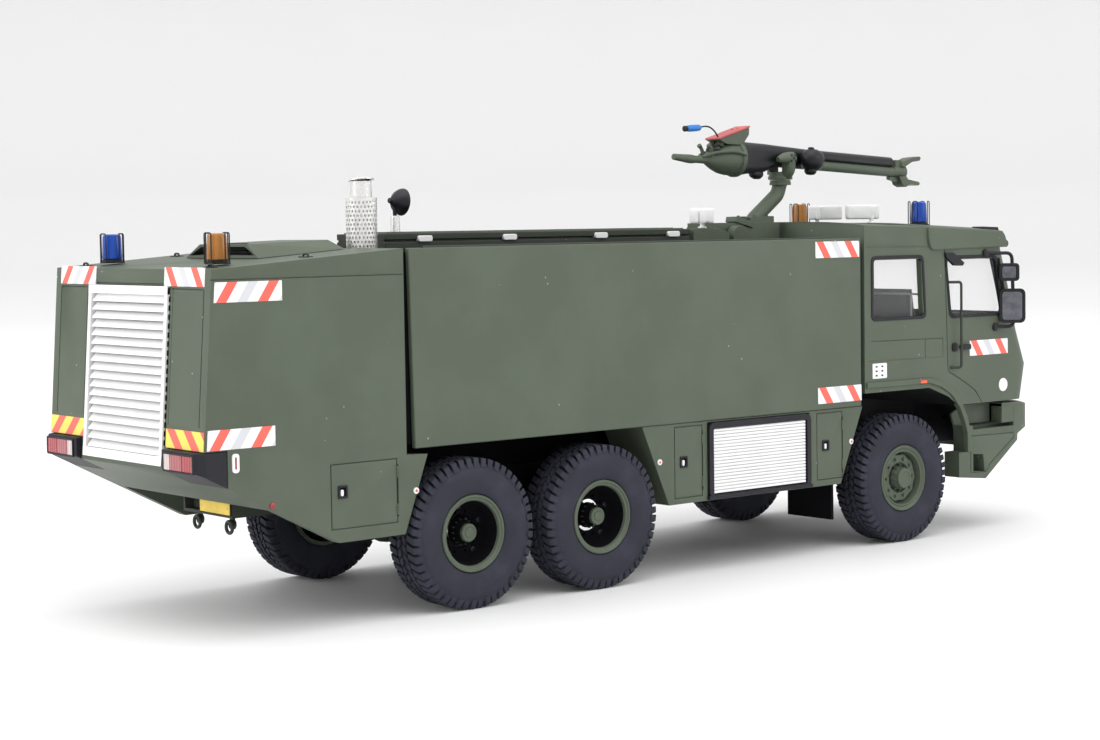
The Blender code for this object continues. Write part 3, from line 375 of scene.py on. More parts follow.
def make_finishes():
    shades = colours()
    paint = tuple(shades.paint)
    white, grey, red = (0.86, 0.86, 0.86), (0.62, 0.63, 0.66), tuple(shades.warning)
    yellow = (0.92, 0.7, 0.1)
    paint_finish("paint", paint)
    paint_finish("dark_paint", tinted(paint, 0.35), 0.5)
    plastic_finish("black", tuple(shades.black), 0.38, "black_plastic")
    plastic_finish("matt_black", tinted(tuple(shades.black), 0.5), 0.8, "black_plastic", shine=0.1)
    plastic_finish("seal", (0.01, 0.01, 0.015), 0.5, "black_plastic")
    plastic_finish("enamel", tuple(shades.enamel), 0.34, "white_enamel", 0.4, cloudy=0.02)
    plastic_finish("seat", (0.055, 0.058, 0.072), 0.7, "grey_interior", 0.12, 0.012)
    plastic_finish("red", (0.48, 0.1, 0.1), 0.5, "red_enamel")
    plastic_finish("blue_grip", (0.03, 0.2, 0.62), 0.4, "blue_lens")
    plastic_finish("plate", (0.82, 0.6, 0.1), 0.45, "red_enamel", 0.3)
    plastic_finish("orange", (0.78, 0.13, 0.06), 0.35, "amber_lens")
    rubber_finish(tuple(shades.tyre))
    metal_finish("steel", (0.55, 0.55, 0.55), 0.35, "steel")
    metal_finish("silver", (0.86, 0.85, 0.84), 0.24, "silver_metal", 0.85)
    lens_finish("lens_red", (0.34, 0.035, 0.045), "black_plastic")
    lens_finish("lens_pink", (0.36, 0.09, 0.1), "black_plastic")
    lens_finish("lens_clear", (0.6, 0.5, 0.49), "black_plastic")
    lens_finish("lens_white", (0.8, 0.8, 0.8), "white_enamel", 0.3)
    lens_finish("lens_blue", tuple(shades.blue), "blue_lens", 0.5, 0.95)
    lens_finish("lens_amber", tuple(shades.amber), "amber_lens", 0.5, 0.95)
    glass_finish()
    mirror_finish()
    bands = [(0.0, red), (0.245, white), (0.505, grey), (0.74, white)]
    for key, axis in (("stripe", 1), ("tail", 0)):
        stripe_finish(f"{key}_rising", axis, -0.17, 0.21, bands, 0.61)
        stripe_finish(f"{key}_falling", axis, 0.17, 0.02, bands, 0.635)
    for key, lean, start in (("yellow_rising", -0.24, 0.35), ("yellow_falling", 0.24, 0.53)):
        stripe_finish(key, 0, lean, start, [(0.0, red), (0.48, yellow)], 0.44, "red_enamel")


# --- building pieces ------------------------------------------------------------------------------
class Shape:
    """Closed bodies gathered into one piece."""

    def __init__(self, name, look="paint"):
        self.name, self.bm, self.looks = name, bmesh.new(), []
        self.matrix = Matrix.Identity(4)
        self.paint(look)

    def paint(self, look):
        if look not in self.looks:
            self.looks.append(look)
        self.index = self.looks.index(look)
        return self

    def at(self, x=0.0, y=0.0, z=0.0, turn=(0, 0, 0)):
        """Places what is added next; turn is in degrees about X, Y and Z."""
        angles = Euler([math.radians(angle) for angle in turn])
        self.matrix = Matrix.Translation((x, y, z)) @ angles.to_matrix().to_4x4()
        return self

    def body(self, points, faces):
        verts = [self.bm.verts.new(self.matrix @ Vector(point)) for point in points]
        made = [self.bm.faces.new([verts[i] for i in face]) for face in faces]
        for face in made:
            face.material_index = self.index
        bmesh.ops.recalc_face_normals(self.bm, faces=made)
        return self

    def loft(self, rings, closed=False):
        """A body through rings of equally many points, capped unless it closes on itself."""
        size = len(rings[0])
        points = [point for ring in rings for point in ring]
        faces = []
        last = len(rings) if closed else len(rings) - 1
        for i in range(last):
            a, b = i * size, (i + 1) % len(rings) * size
            faces += [(a + k, a + (k + 1) % size, b + (k + 1) % size, b + k) for k in range(size)]
        if not closed:
            faces += [tuple(range(size))[::-1], tuple(range(len(points) - size, len(points)))]
        return self.body(points, faces)

    def box(self, x, y, z):
        (x0, x1), (y0, y1), (z0, z1) = x, y, z
        ends = [[(x_, y0, z0), (x_, y1, z0), (x_, y1, z1), (x_, y0, z1)] for x_ in (x0, x1)]
        return self.loft(ends)

    def slab(self, outline, ends, axis="X"):
        """An outline of pairs, pushed along an axis from one end to the other."""
        return self.loft([[along(axis, end, a, b) for a, b in outline] for end in ends])

    def ring(self, outer, inner, ends, axis="X"):
        """A frame between two outlines of equally many points."""
        near, far = ends
        return self.loft([
            [along(axis, near, *point) for point in outer], [along(axis, far, *point) for point in outer],
            [along(axis, far, *point) for point in inner], [along(axis, near,
                *point) for point in inner]], closed=True)

    def turned(self, profile, axis="X", steps=48):
        """A profile of (place along the axis, radius), turned about the axis."""
        points, rings = [], []
        for place, radius in profile:
            if radius < 1e-6:
                rings.append([len(points)])
                points.append(along(axis, place, 0, 0))
                continue
            rings.append(list(range(len(points), len(points) + steps)))
            points += [along(axis, place, radius * math.cos(t), radius * math.sin(t)) for t in circle(steps)]
        pairs = list(zip(rings, rings[1:]))
        if len(rings[0]) > 1 or len(rings[-1]) > 1:
            pairs.append((rings[-1], rings[0]))
        faces = []
        for first, second in pairs:
            for k in range(steps):
                corners = [first[k % len(first)], first[(k + 1) % len(first)],
                           second[(k + 1) % len(second)], second[k % len(second)]]
                face = list(dict.fromkeys(corners))
                if len(face) > 2:
                    faces.append(face)
        return self.body(points, faces)

    def tube(self, path, radius, sides=10, closed=False):
        """A round bar along a path; radius is one number or one for each point."""
        path = [Vector(point) for point in path]
        radii = radius if isinstance(radius, (list, tuple)) else [radius] * len(path)
        rings, normal = [], None
        for i, point in enumerate(path):
            before = path[i - 1] if i or closed else point
            after = path[(i + 1) % len(path)] if i + 1 < len(path) or closed else point
            tangent = (after - before).normalized()
            if normal is None:
                normal = tangent.orthogonal().normalized()
            normal = (normal - tangent * normal.dot(tangent)).normalized()
            other = tangent.cross(normal)
            rings.append([point + (normal * math.cos(t) + other * math.sin(t)) * radii[i] for t in circle(sides)])
        return self.loft(rings, closed)

    def nut(self, x, y, z, radius, height, axis="X", steps=6):
        """A nut or a bolt head that stands on x, y, z and points along an axis."""
        held = self.matrix.copy()
        self.matrix = held @ Matrix.Translation((x, y, z))
        self.turned([(0, 0), (0, radius), (height * 0.75, radius), (height, radius * 0.8), (height, 0)],
            axis, steps)
        self.matrix = held
        return self

    def finish(self, body="root", edge=0.0, segments=2, angle=32, replaces=(), smooth=True, local=None):
        """Makes the object; `local` is the place in millimetres that the piece was drawn around."""
        mesh = bpy.data.meshes.new(self.name)
        place = TO_METRES if local is None else Matrix.Scale(MM, 4)
        self.bm.transform(place)
        self.bm.to_mesh(mesh)
        self.bm.free()
        piece = bpy.data.objects.new(self.name, mesh)
        if local is not None:
            piece.location = TO_METRES @ Vector(local)
        return dress(piece, self.looks, body, edge, segments, angle, replaces, smooth)


def circle(steps, phase=0.0):
    """Angles spread evenly around a full turn; phase is in steps."""
    return [2 * math.pi * (k + phase) / steps for k in range(steps)]


def along(axis, end, a, b):
    """The point at `end` along an axis and a, b on the other two."""
    return {"X": (end, a, b), "Y": (a, end, b), "Z": (a, b, end)}[axis]


def dress(piece, looks, body, edge, segments, angle, replaces, smooth=True):
    """Links a piece, gives it its finishes and rounded edges, and lets it ride on its body."""
    bpy.context.scene.collection.objects.link(piece)
    for look in looks:
        piece.data.materials.append(LOOKS[look])
    if edge:
        rounding = piece.modifiers.new("rounded_edges", "BEVEL")
        rounding.width = edge * MM
        rounding.segments = segments
        rounding.limit_method = "ANGLE"
        rounding.angle_limit = math.radians(angle)
        rounding.harden_normals = False
    if smooth:
        piece.data.shade_smooth()
        piece.data.set_sharp_from_angle(angle=math.radians(38))
    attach(piece, body)
    if replaces:
        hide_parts(*replaces)
    return piece


def arc(a, b, radius, start, end, steps=5):
    """Points on an arc about a, b, between two angles in degrees."""
    turns = [math.radians(start + (end - start) * k / steps) for k in range(steps + 1)]
    return [(a + radius * math.cos(t), b + radius * math.sin(t)) for t in turns]


def round_box(a0, a1, b0, b1, radius, steps=4):
    """A rectangle's outline with round corners."""
    a0, a1, b0, b1 = min(a0, a1), max(a0, a1), min(b0, b1), max(b0, b1)
    corners = ((a1, b1, 0), (a0, b1, 90), (a0, b0, 180), (a1, b0, 270))
    outline = []
    for a, b, start in corners:
        inward = (a - radius if a == a1 else a + radius, b - radius if b == b1 else b + radius)
        outline += arc(*inward, radius, start, start + 90, steps)
    return outline


def round_outline(corners, radius, steps=4):
    """A closed outline with each corner rounded."""
    outline = []
    for i, corner in enumerate(corners):
        here = Vector(corner)
        before = (Vector(corners[i - 1]) - here).normalized()
        after = (Vector(corners[(i + 1) % len(corners)]) - here).normalized()
        start, end = here + before * radius, here + after * radius
        for k in range(steps + 1):
            t = k / steps
            outline.append(tuple(start * (1 - t) ** 2 + here * 2 * t * (1 - t) + end * t ** 2))
    return outline


def rounded_path(corners, radius, steps=5):
    """An open path whose inner corners are rounded."""
    corners = [Vector(corner) for corner in corners]
    path = [corners[0]]
    for before, here, after in zip(corners, corners[1:], corners[2:]):
        start = here + (before - here).normalized() * radius
        end = here + (after - here).normalized() * radius
        for k in range(steps + 1):
            t = k / steps
            path.append(start * (1 - t) ** 2 + here * 2 * t * (1 - t) + end * t ** 2)
    return [*path, corners[-1]]


def copy_of(node):
    """A clean editable copy of a node's solid, in metres."""
    mesh = NODES[node].data.copy()
    mesh.materials.clear()
    bm = bmesh.new()
    bm.from_mesh(mesh)
    bmesh.ops.remove_doubles(bm, verts=bm.verts, dist=2e-6)
    bmesh.ops.dissolve_limit(bm, angle_limit=math.radians(1.0), verts=bm.verts, edges=bm.edges)
    bm.to_mesh(mesh)
    bm.free()
    return mesh


def engraved(node, look, cuts=None, edge=EDGE, angle=32, body="root", segments=2):
    """A node's solid with lines engraved in it and its edges rounded, in place of the plain one."""
    piece = bpy.data.objects.new(f"{node}_finished", copy_of(node))
    piece.data.materials.append(LOOKS[look])
    bpy.context.scene.collection.objects.link(piece)
    if cuts is not None:
        tool_mesh = bpy.data.meshes.new("cuts")
        cuts.bm.transform(TO_METRES)
        cuts.bm.to_mesh(tool_mesh)
        cuts.bm.free()
        for key in cuts.looks:
            tool_mesh.materials.append(LOOKS[key])
        tool = bpy.data.objects.new("cuts", tool_mesh)
        bpy.context.scene.collection.objects.link(tool)
        carve = piece.modifiers.new("engraving", "BOOLEAN")
        carve.operation, carve.object, carve.solver = "DIFFERENCE", tool, "EXACT"
        carve.material_mode, carve.use_self, carve.use_hole_tolerant = "TRANSFER", True, True
        carved = bpy.data.meshes.new_from_object(piece.evaluated_get(bpy.context.evaluated_depsgraph_get()))
        piece.modifiers.clear()
        piece.data = carved
        bpy.data.objects.remove(tool)
        if len(carved.polygons) < len(NODES[node].data.polygons) / 4:
            raise RuntimeError(f"{node} was lost while it was engraved: {len(carved.polygons)} faces left")
    looks = [material.name for material in piece.data.materials]
    bpy.context.scene.collection.objects.unlink(piece)
    keys = {LOOKS[key].name: key for key in LOOKS}
    piece.data.materials.clear()
    return dress(piece, [keys[name] for name in looks], body, edge, segments, angle, (node,))


def tail_y(z):
    """Where the tail's leaning face stands at a height."""
    return TAIL.rear - (z - TAIL_FOOT) * TAIL_LEAN


def groove_ring(shape, outline, centre, plane, depth=0.12, width=GROOVE, axis="X"):
    """A closed engraved line that follows an outline, drawn as a cutter."""
    middle = Vector(centre)
    grown = []
    for point in outline:
        away = Vector(point) - middle
        grown.append(tuple(Vector(point) + Vector([math.copysign(width,
            v) if abs(v) > 0.05 else 0 for v in away])))
    shape.ring(grown, outline, (plane - depth, plane + 1.0) if plane > 0 else (plane + depth,
        plane - 1.0), axis)


# --- wheels ---------------------------------------------------------------------------------------
def tread_block(shape, section, start, end, slant=0.0):
    """A block of tread: a section of (x, radius) points, swept between two angles."""
    rings = []
    for angle in (start, end):
        ring = []
        for x, radius in section:
            turn = angle + slant * x
            ring.append((x, radius * math.cos(turn), radius * math.sin(turn)))
        rings.append(ring)
    shape.loft(rings)


def build_tyre(node, body, centre, side):
    """A tyre with tread blocks, bulged sidewalls and raised rings."""
    half, outer, bead = WHEEL.half - abs(centre.x), WHEEL.top / 2, RIM.top - WHEEL.top / 2 + 0.03
    floor = outer - 0.5
    shape = Shape(f"{node}_tread", "tyre")
    sidewall = [
        (0.74, bead), (0.83, bead + 0.03), (0.88, bead + 0.16), (0.9, bead + 0.3), (0.965,
            bead + 0.75), (1.0, bead + 1.5),
        (0.995, bead + 2.1), (0.97, bead + 2.45), (0.955, bead + 2.5), (0.95, bead + 2.62), (0.9,
            floor - 0.08)]
    outward = [(half * share, radius) for share, radius in sidewall]
    shape.turned([*outward, (half * 0.8, floor), (-half * 0.8, floor),
        *[(-x, r) for x, r in outward[::-1]]], steps=120)
    blocks = settings().tread_blocks
    pitch = 2 * math.pi / blocks
    shoulder = [
        (half * 0.99, floor - 0.42), (half * 0.985, floor + 0.02), (half * 0.93,
            outer - 0.12), (half * 0.86, outer - 0.01),
        (half * 0.4, outer), (half * 0.38, floor - 0.1), (half * 0.8, floor - 0.1)]
    rib = [(half * 0.3, outer), (half * 0.32, floor - 0.1), (half * 0.06, floor - 0.1), (half * 0.07, outer)]
    for k in range(blocks):
        turn = k * pitch
        short = 0.06 * (k % 2)
        for mirror, shift in ((1, 0.0), (-1, 0.5)):
            start = turn + shift * pitch
            section = [(mirror * (x - short * (x > half * 0.9)), r) for x, r in shoulder]
            tread_block(shape, section, start, start + pitch * 0.7, 0.05)
            section = [(mirror * x, r) for x, r in rib]
            tread_block(shape, section, start + pitch * 0.2, start + pitch * 1.02, mirror * 0.12)
    piece = shape.finish(body, edge=0.035, segments=1, angle=50, local=centre, replaces=(node,))
    piece.rotation_euler = (0, 0, 0 if side > 0 else math.pi)
    return piece


def ring_of(steps, radius, phase=0.0):
    """Pairs spread evenly on a circle."""
    return [(radius * math.cos(t), radius * math.sin(t)) for t in circle(steps, phase)]


def build_front_rim(shape, half, radius, cap):
    """A front rim: its lip, dish, hub and ring of nuts."""
    nuts = settings().wheel_nuts
    lip = [
        (half - 0.3, radius), (half - 0.04, radius - 0.03), (half + 0.02, radius - 0.12), (half - 0.02,
            radius - 0.24),
        (half - 0.14, radius - 0.4), (half - 0.22, radius - 0.48), (half - 0.14,
            radius - 0.58), (half - 0.16, radius - 0.72),
        (half - 0.42, radius - 0.8), (half - 1.1, radius - 0.86), (half - 1.1, radius - 0.7), (-half,
            radius - 0.5), (-half, radius)]
    shape.turned(lip, steps=72)
    disc = half - 0.72
    shape.paint("dark_paint").turned([(disc - 0.5, 0.7), (disc - 0.4, radius - 0.7),
        (disc - 0.6, radius - 0.7), (disc - 0.7, 0.7)], steps=48)
    fine, scallop = 100, []
    for t in circle(fine):
        reach = 2.62 + 0.07 * math.cos(nuts * t)
        scallop.append((reach * math.cos(t), reach * math.sin(t)))
    shape.paint("paint").ring(scallop, ring_of(fine, 1.72), (disc - 0.35, disc))
    shape.turned([(disc - 0.3, 0.8), (disc - 0.3, 1.35), (disc + 0.1, 1.3), (cap - 0.3, 1.12),
        (cap - 0.3, 0.8)], steps=40)
    shape.turned([(cap - 0.35, 0), (cap - 0.35, 1.14), (cap - 0.06, 1.12), (cap, 1.0), (cap, 0.84),
        (cap - 0.05, 0.8), (cap - 0.05, 0)], steps=40)
    shape.paint("dark_paint").turned([(disc - 0.25, 1.3), (disc - 0.25, 1.74), (disc - 0.2, 1.74),
        (disc - 0.2, 1.3)], steps=40)
    for y, z in ring_of(nuts, 2.14):
        shape.paint("paint").nut(disc - 0.02, y, z, 0.17, 0.26)
        shape.paint("dark_paint").nut(disc - 0.01, y * 1.09, z * 1.09, 0.07, 0.06, steps=8)
    for y, z in ring_of(nuts, 1.46, 0.5):
        shape.paint("dark_paint").nut(disc - 0.2, y, z, 0.12, 0.3)
    for y, z in ring_of(12, 1.2, 0.25):
        shape.paint("paint").nut(disc + 0.1, y, z, 0.09, 0.42)


def build_rear_rim(shape, half, radius, cap, dish):
    """A rear rim: its deep dish, hub and ring of nuts. Inside the dish they are matt black: partly the rim's
    black paint, partly painted shade.
    """
    nuts = settings().wheel_nuts
    disc = half - dish
    lip = [
        (half - 0.3, radius), (half - 0.05, radius - 0.03), (half + 0.02, radius - 0.13), (half,
            radius - 0.26),
        (half - 0.13, radius - 0.36), (half - 0.14, radius - 0.54), (half - 0.24,
            radius - 0.6), (half - 0.5, radius - 0.66),
        (half - 0.5, radius - 0.5), (-half, radius - 0.4), (-half, radius)]
    shape.turned(lip, steps=72)
    # The well, hub and nuts inside the dish are matt black: partly black paint, partly painted shade deep in the
    # dish.
    well = [
        (half - 0.4, radius - 0.64), (half - 1.1, radius - 0.78), (disc + 0.3, radius - 0.95), (disc,
            radius - 1.25), (disc + 0.12, 1.75),
        (disc, 1.6), (disc - 0.3, 1.6), (disc - 0.3, radius - 0.7), (half - 0.45, radius - 0.5)]
    shape.paint("matt_black").turned(well, steps=64)
    hub = [(disc - 0.2, 0.6), (disc - 0.2, 1.3), (disc + 0.35, 1.2), (disc + 0.9, 0.95),
        (cap - 0.3, 0.82), (cap - 0.3, 0.6)]
    shape.paint("matt_black").turned(hub, steps=40)
    for y, z in ring_of(nuts, 1.95):
        shape.paint("matt_black").nut(disc - 0.02, y, z, 0.17, 0.4)
    for y, z in ring_of(5, 2.45, 0.3):
        shape.paint("black").nut(disc - 0.05, y, z, 0.3, 0.16, steps=16)
    for y, z in ring_of(14, 1.22):
        shape.paint("dark_paint").nut(disc + 0.3, y, z, 0.09, 0.35)
    shape.paint("paint")
    shape.turned([(cap - 0.4, 0), (cap - 0.4, 0.9), (cap - 0.08, 0.88), (cap, 0.8), (cap + 0.02, 0.68),
        (cap - 0.05, 0.58), (cap - 0.05, 0)], steps=40)
    shape.turned([(cap - 0.06, 0), (cap - 0.06, 0.5), (cap + 0.01, 0.46), (cap + 0.03, 0.3),
        (cap + 0.03, 0)], steps=32)


def build_wheels():
    """All six wheels on their three wheelsets."""
    for axle in ("front", "rear_1", "rear_2"):
        body = f"{axle}_wheelset"
        for label, side in SIDES.items():
            tyre_box, rim_box = Box(f"{axle}_tyre_{label}"), Box(f"{axle}_rim_{label}")
            centre = tyre_box.middle
            build_tyre(f"{axle}_tyre_{label}", body, centre, side)
            radius = (rim_box.top - rim_box.bottom) / 2
            half = min((RIM.high.x - RIM.low.x) / 2, 1.9)
            reach = rim_box.half - abs(centre.x)
            shape = Shape(f"{axle}_rim_{label}_finished")
            if axle == "front":
                build_front_rim(shape, half, radius, reach)
            else:
                build_rear_rim(shape, half, radius, 1.2, 2.3)
            piece = shape.finish(body, edge=0.03, segments=1, angle=40, local=centre,
                replaces=(f"{axle}_rim_{label}",))
            piece.rotation_euler = (0, 0, 0 if side > 0 else math.pi)
        engraved(f"{axle}_axle_rod", "steel", edge=0, body=f"{axle}_wheelset")
        engraved(f"{axle}_axle_housing", "dark_paint", edge=0.05)


# --- warning stripes ------------------------------------------------------------------------------
def sticker(name, look, corners, outward, thickness=0.05):
    """A thin sticker on four corners, which stands `thickness` off its face along `outward`."""
    shape = Shape(name, look)
    push = Vector(outward) * thickness
    shape.loft([[Vector(corner) - push * 0.4 for corner in corners],
        [Vector(corner) + push for corner in corners]])
    return shape.finish(smooth=False)


def side_stripes():
    height, reach = settings().stripe_height / MM, settings().stripe_length / MM
    spots = {
        "tail_upper": (TAIL.half, tail_y(31.9) - 0.22, 30.12, "stripe_rising"),
        "tail_lower": (TAIL.half, tail_y(19.1) - 0.1, 17.3, "stripe_rising"),
        "panel_upper": (PANEL.half, PANEL.front + 7.25, 32.43, "stripe_falling"),
        "panel_lower": (PANEL.half, PANEL.front + 7.0, 16.5, "stripe_falling"),
        "door": (CAB.half, -73.35, 20.5, "stripe_falling"),
    }
    for label, side in SIDES.items():
        for spot, (half, rear, low, look) in spots.items():
            x, lean = side * half, TAIL_LEAN * height if spot.startswith("tail") else 0.0
            corners = [(x, rear, low), (x, rear - lean, low + height), (x, rear - reach, low + height),
                (x, rear - reach, low)]
            sticker(f"stripe_{spot}_{label}", look, corners, (side, 0, 0))


def tail_stripes():
    height = settings().stripe_height / MM * 0.94
    for label, side in SIDES.items():
        for spot, low, inner, outer, looks in (
                ("corner", 31.5, GRILLE.half - 0.95, TAIL.half - 1.0, ("tail_falling", "tail_rising")),
                ("lamp", 17.25, GRILLE.half + 0.35, TAIL.half - 0.15, ("yellow_falling", "yellow_rising"))):
            x0, x1 = side * inner, side * outer
            corners = [(x0, tail_y(low), low), (x1, tail_y(low), low),
                (x1, tail_y(low + height), low + height),
                       (x0, tail_y(low + height), low + height)]
            sticker(f"stripe_{spot}_{label}", looks[side > 0], corners, (0, 1, TAIL_LEAN))


# --- bodywork -------------------------------------------------------------------------------------
DOORS = {
    "tail": {"rear": 15.85, "front": 8.65, "low": 9.22, "top": 15.03, "latch": (14.67, 12.52),
        "lamp": (6.48, 11.91)},
    "locker_rear": {"rear": -26.5, "front": -30.3, "low": 8.13, "top": 15.4, "latch": (-27.69, 11.79),
        "lamp": (-24.32, 12.04)},
    "locker_front": {"rear": -47.7, "front": -51.6, "low": 8.2, "top": 15.4, "latch": (-49.0, 11.88),
        "lamp": (-53.08, 12.01)},
}


def engrave_door(cuts, door, plane):
    """The joint line around a locker door, wider along its hinge."""
    outline = [(door["rear"], door["low"]), (door["rear"], door["top"]), (door["front"], door["top"]),
        (door["front"], door["low"])]
    centre = ((door["rear"] + door["front"]) / 2, (door["low"] + door["top"]) / 2)
    groove_ring(cuts, outline, centre, plane, 0.16, 0.1)
    side = math.copysign(1, plane)
    depth = (plane - side * 0.3, plane + side)
    cuts.box(depth, (door["front"] - 0.2, door["front"] + 0.02), (door["low"] + 0.5, door["top"] - 0.5))


def door_fittings(name, door, plane):
    """Hinge knuckles, latch and marker lamp of a locker door."""
    side = math.copysign(1, plane)
    shape = Shape(f"{name}_fittings", "paint")
    height = door["top"] - door["low"]
    for z in (door["low"] + height * 0.2, door["top"] - height * 0.2):
        for k in (-1, 0, 1):
            shape.tube([(plane + side * 0.02, door["front"] - 0.05, z + k * 0.36 - 0.16),
                (plane + side * 0.02, door["front"] - 0.05, z + k * 0.36 + 0.16)], 0.1, 8)
    y, z = door["latch"]
    bezel, hollow = round_box(y - 0.52, y + 0.52, z - 0.6, z + 0.6, 0.14), round_box(y - 0.34, y + 0.34,
        z - 0.42, z + 0.42, 0.08)
    shape.paint("seal").ring(bezel, hollow, (plane - side * 0.1, plane + side * 0.12))
    shape.paint("matt_black").slab(hollow, (plane - side * 0.1, plane + side * 0.01))
    handle = round_box(y - 0.03, y + 0.26, z - 0.36, z + 0.22, 0.12)
    shape.paint("enamel").slab(handle, (plane, plane + side * 0.15))
    shape.finish(edge=0.02, segments=1)
    y, z = door["lamp"]
    lamp = Shape(f"{name}_marker_lamp", "enamel").at(plane, y, z)
    lamp.turned([(0, 0), (0, 0.3), (side * 0.1, 0.3), (side * 0.13, 0.25), (side * 0.13, 0)], steps=24)
    lamp.paint("orange").turned([(side * 0.1, 0), (side * 0.1, 0.16), (side * 0.19, 0.1),
        (side * 0.21, 0)], steps=16)
    lamp.finish()


def tail_groove(cuts, x0, x1, low, high):
    """Cuts an upright or level line into the leaning face, between two X and two Z."""
    corners = [(x0, low), (x1, low), (x1, high), (x0, high)]
    cuts.loft([[(x, tail_y(z) + reach, z) for x, z in corners] for reach in (-0.14, 0.6)])


def build_tail_body():
    """The tail module with its panel joints and a locker door on each flank."""
    cuts = Shape("tail_cuts", "matt_black")
    for side in SIDES.values():
        x0, x1 = side * (GRILLE.half + 0.35), side * (TAIL.half - 1.15)
        z0, z1 = 19.25, 31.2
        tail_groove(cuts, x1, x1 + side * 0.12, z0, z1)
        tail_groove(cuts, x0, x1, z1, z1 + 0.12)
        tail_groove(cuts, x0 + side * 0.2, x0 + side * 0.28, z0, z1)
        plane, seam = side * TAIL.half, 32.05
        cuts.box((plane - side * 0.12, plane + side), (tail_y(seam) + 0.4, TAIL.front + 2.5),
            (seam, seam + GROOVE))
        engrave_door(cuts, DOORS["tail"], plane)
    reach = GRILLE.half - 1.1
    for z in (31.62, 33.0):
        tail_groove(cuts, -reach, reach, z, z + 0.1)
    engraved("rear_body", "paint", cuts)
    for label, side in SIDES.items():
        door_fittings(f"tail_door_{label}", DOORS["tail"], side * TAIL.half)


def build_tail_trim():
    """Reflectors on the flanks, lifting eyes on the roof and the blank plate."""
    for label, side in SIDES.items():
        x = side * TAIL.half
        shape = Shape(f"flank_reflector_{label}", "enamel")
        outline, inner = round_box(25.5, 26.2, 15.2, 16.9, 0.28), round_box(25.75, 25.95, 15.5, 16.6, 0.09)
        shape.ring(outline, inner, (x - side * 0.02, x + side * 0.12))
        shape.paint("lens_red").slab(inner, (x, x + side * 0.1))
        shape.finish(smooth=False)
        dot = Shape(f"flank_marker_{label}", "lens_red").at(x, 22.17, 11.98)
        dot.turned([(0, 0), (0, 0.3), (side * 0.1, 0.28), (side * 0.16, 0.15), (side * 0.18, 0)],
            steps=24).finish()
        eye = Shape(f"lifting_eye_{label}", "dark_paint")
        for y in (16.3, 26.2):
            z = roof_height(y)
            path = rounded_path([(side * 11.9, y, z - 0.1), (side * 11.9, y, z + 0.28),
                (side * 11.1, y, z + 0.28), (side * 11.1, y, z - 0.1)], 0.2)
            eye.tube(path, 0.1, 8)
            eye.box((side * 10.8, side * 12.2), (y - 0.35, y + 0.35), (z - 0.05, z + 0.08))
        eye.finish()
    plate = Shape("blank_plate", "matt_black")
    y = Box("tow_bracket").rear
    plate.slab(round_box(-4.35, 1.15, 9.92, 11.3, 0.1), (y - 0.3, y + 0.1), "Y")
    plate.paint("plate").slab(round_box(-4.25, 1.05, 10.0, 11.22, 0.1), (y + 0.08, y + 0.16), "Y")
    for x in (-3.9, 0.7):
        plate.paint("steel").nut(x, y + 0.16, 10.61, 0.08, 0.06, "Y", 12)
    plate.finish(smooth=False)
    engraved("tow_bracket", "dark_paint", edge=0.05)
    rings = Shape("tow_rings", "dark_paint")
    for x in (-2.9, 2.9):
        path = [(a, y - 0.6, b) for a, b in arc(x, 8.7, 0.55, 0, 345, 23)]
        rings.tube(path, 0.17, 10, closed=True)
    rings.finish()


def roof_height(y):
    """The height of the tail's sloping roof."""
    return TAIL.top + (33.0 - TAIL.top) * (y - TAIL.front - 2.4) / (27.8 - TAIL.front - 2.4)


def build_grille():
    """The louvred grille in the tail and its surround."""
    low, top, half = GRILLE.bottom + 0.02, GRILLE.top - 0.02, GRILLE.half
    shape = Shape("rear_grille_louvred", "enamel")

    def on_face(outline, near, far):
        """A slab between two distances from the leaning face; the outline is of (x, z) points."""
        shape.loft([[(x, tail_y(z) + reach, z) for x, z in outline] for reach in (near, far)])

    side_bar = 0.5
    field_low, field_top = low + 0.85, top - 0.78
    for side in (-1, 1):
        on_face(round_box(side * half, side * (half - side_bar), low, top, 0.06, 2), -0.45, 0.24)
    on_face(round_box(-half, half, field_top, top, 0.06, 2), -0.4, 0.26)
    on_face(round_box(-half, half, low, field_low, 0.06, 2), -0.4, 0.26)
    slats = settings().louvres
    pitch = (field_top - field_low) / slats
    reach = half - side_bar - 0.22
    for k in range(slats):
        z = field_low + pitch * k
        section = [(-0.32, z + pitch * 0.98), (0.1, z + pitch * 0.3), (0.16, z + pitch * 0.2),
            (0.16, z + pitch * 0.06),
                   (0.09, z + pitch * 0.06), (0.06, z + pitch * 0.22), (-0.38, z + pitch * 0.9)]
        shape.loft([[(x, tail_y(h) + d, h) for d, h in section] for x in (-reach, reach)])
    for x in (-half + 0.5, -half * 0.5, 0.0, half * 0.5, half - 0.5):
        for z in (top - 0.5, low + 0.45):
            shape.at(x, tail_y(z) + 0.26, z, (4, 0, 0)).turned([(0, 0), (0, 0.12), (0.06, 0.09),
                (0.08, 0)], "Y", 12)
    shape.at().paint("matt_black")
    # Black dashes beside each side bar: painted shadow that the louvres' returns cast on the body.
    for side in (-1, 1):
        for k in range(slats):
            z = field_low + pitch * (k + 0.25)
            shadow_dash = [(side * (half + 0.02), z), (side * (half + 0.2), z),
                (side * (half + 0.2), z + pitch * 0.62),
                    (side * (half + 0.02), z + pitch * 0.62)]
            on_face(shadow_dash, -0.05, 0.09)
    on_face([(-half + 0.1, low + 0.1), (half - 0.1, low + 0.1), (half - 0.1, top - 0.1),
        (-half + 0.1, top - 0.1)], -0.49, -0.4)
    shape.finish(edge=0.02, segments=1, angle=40, replaces=("rear_grille",))


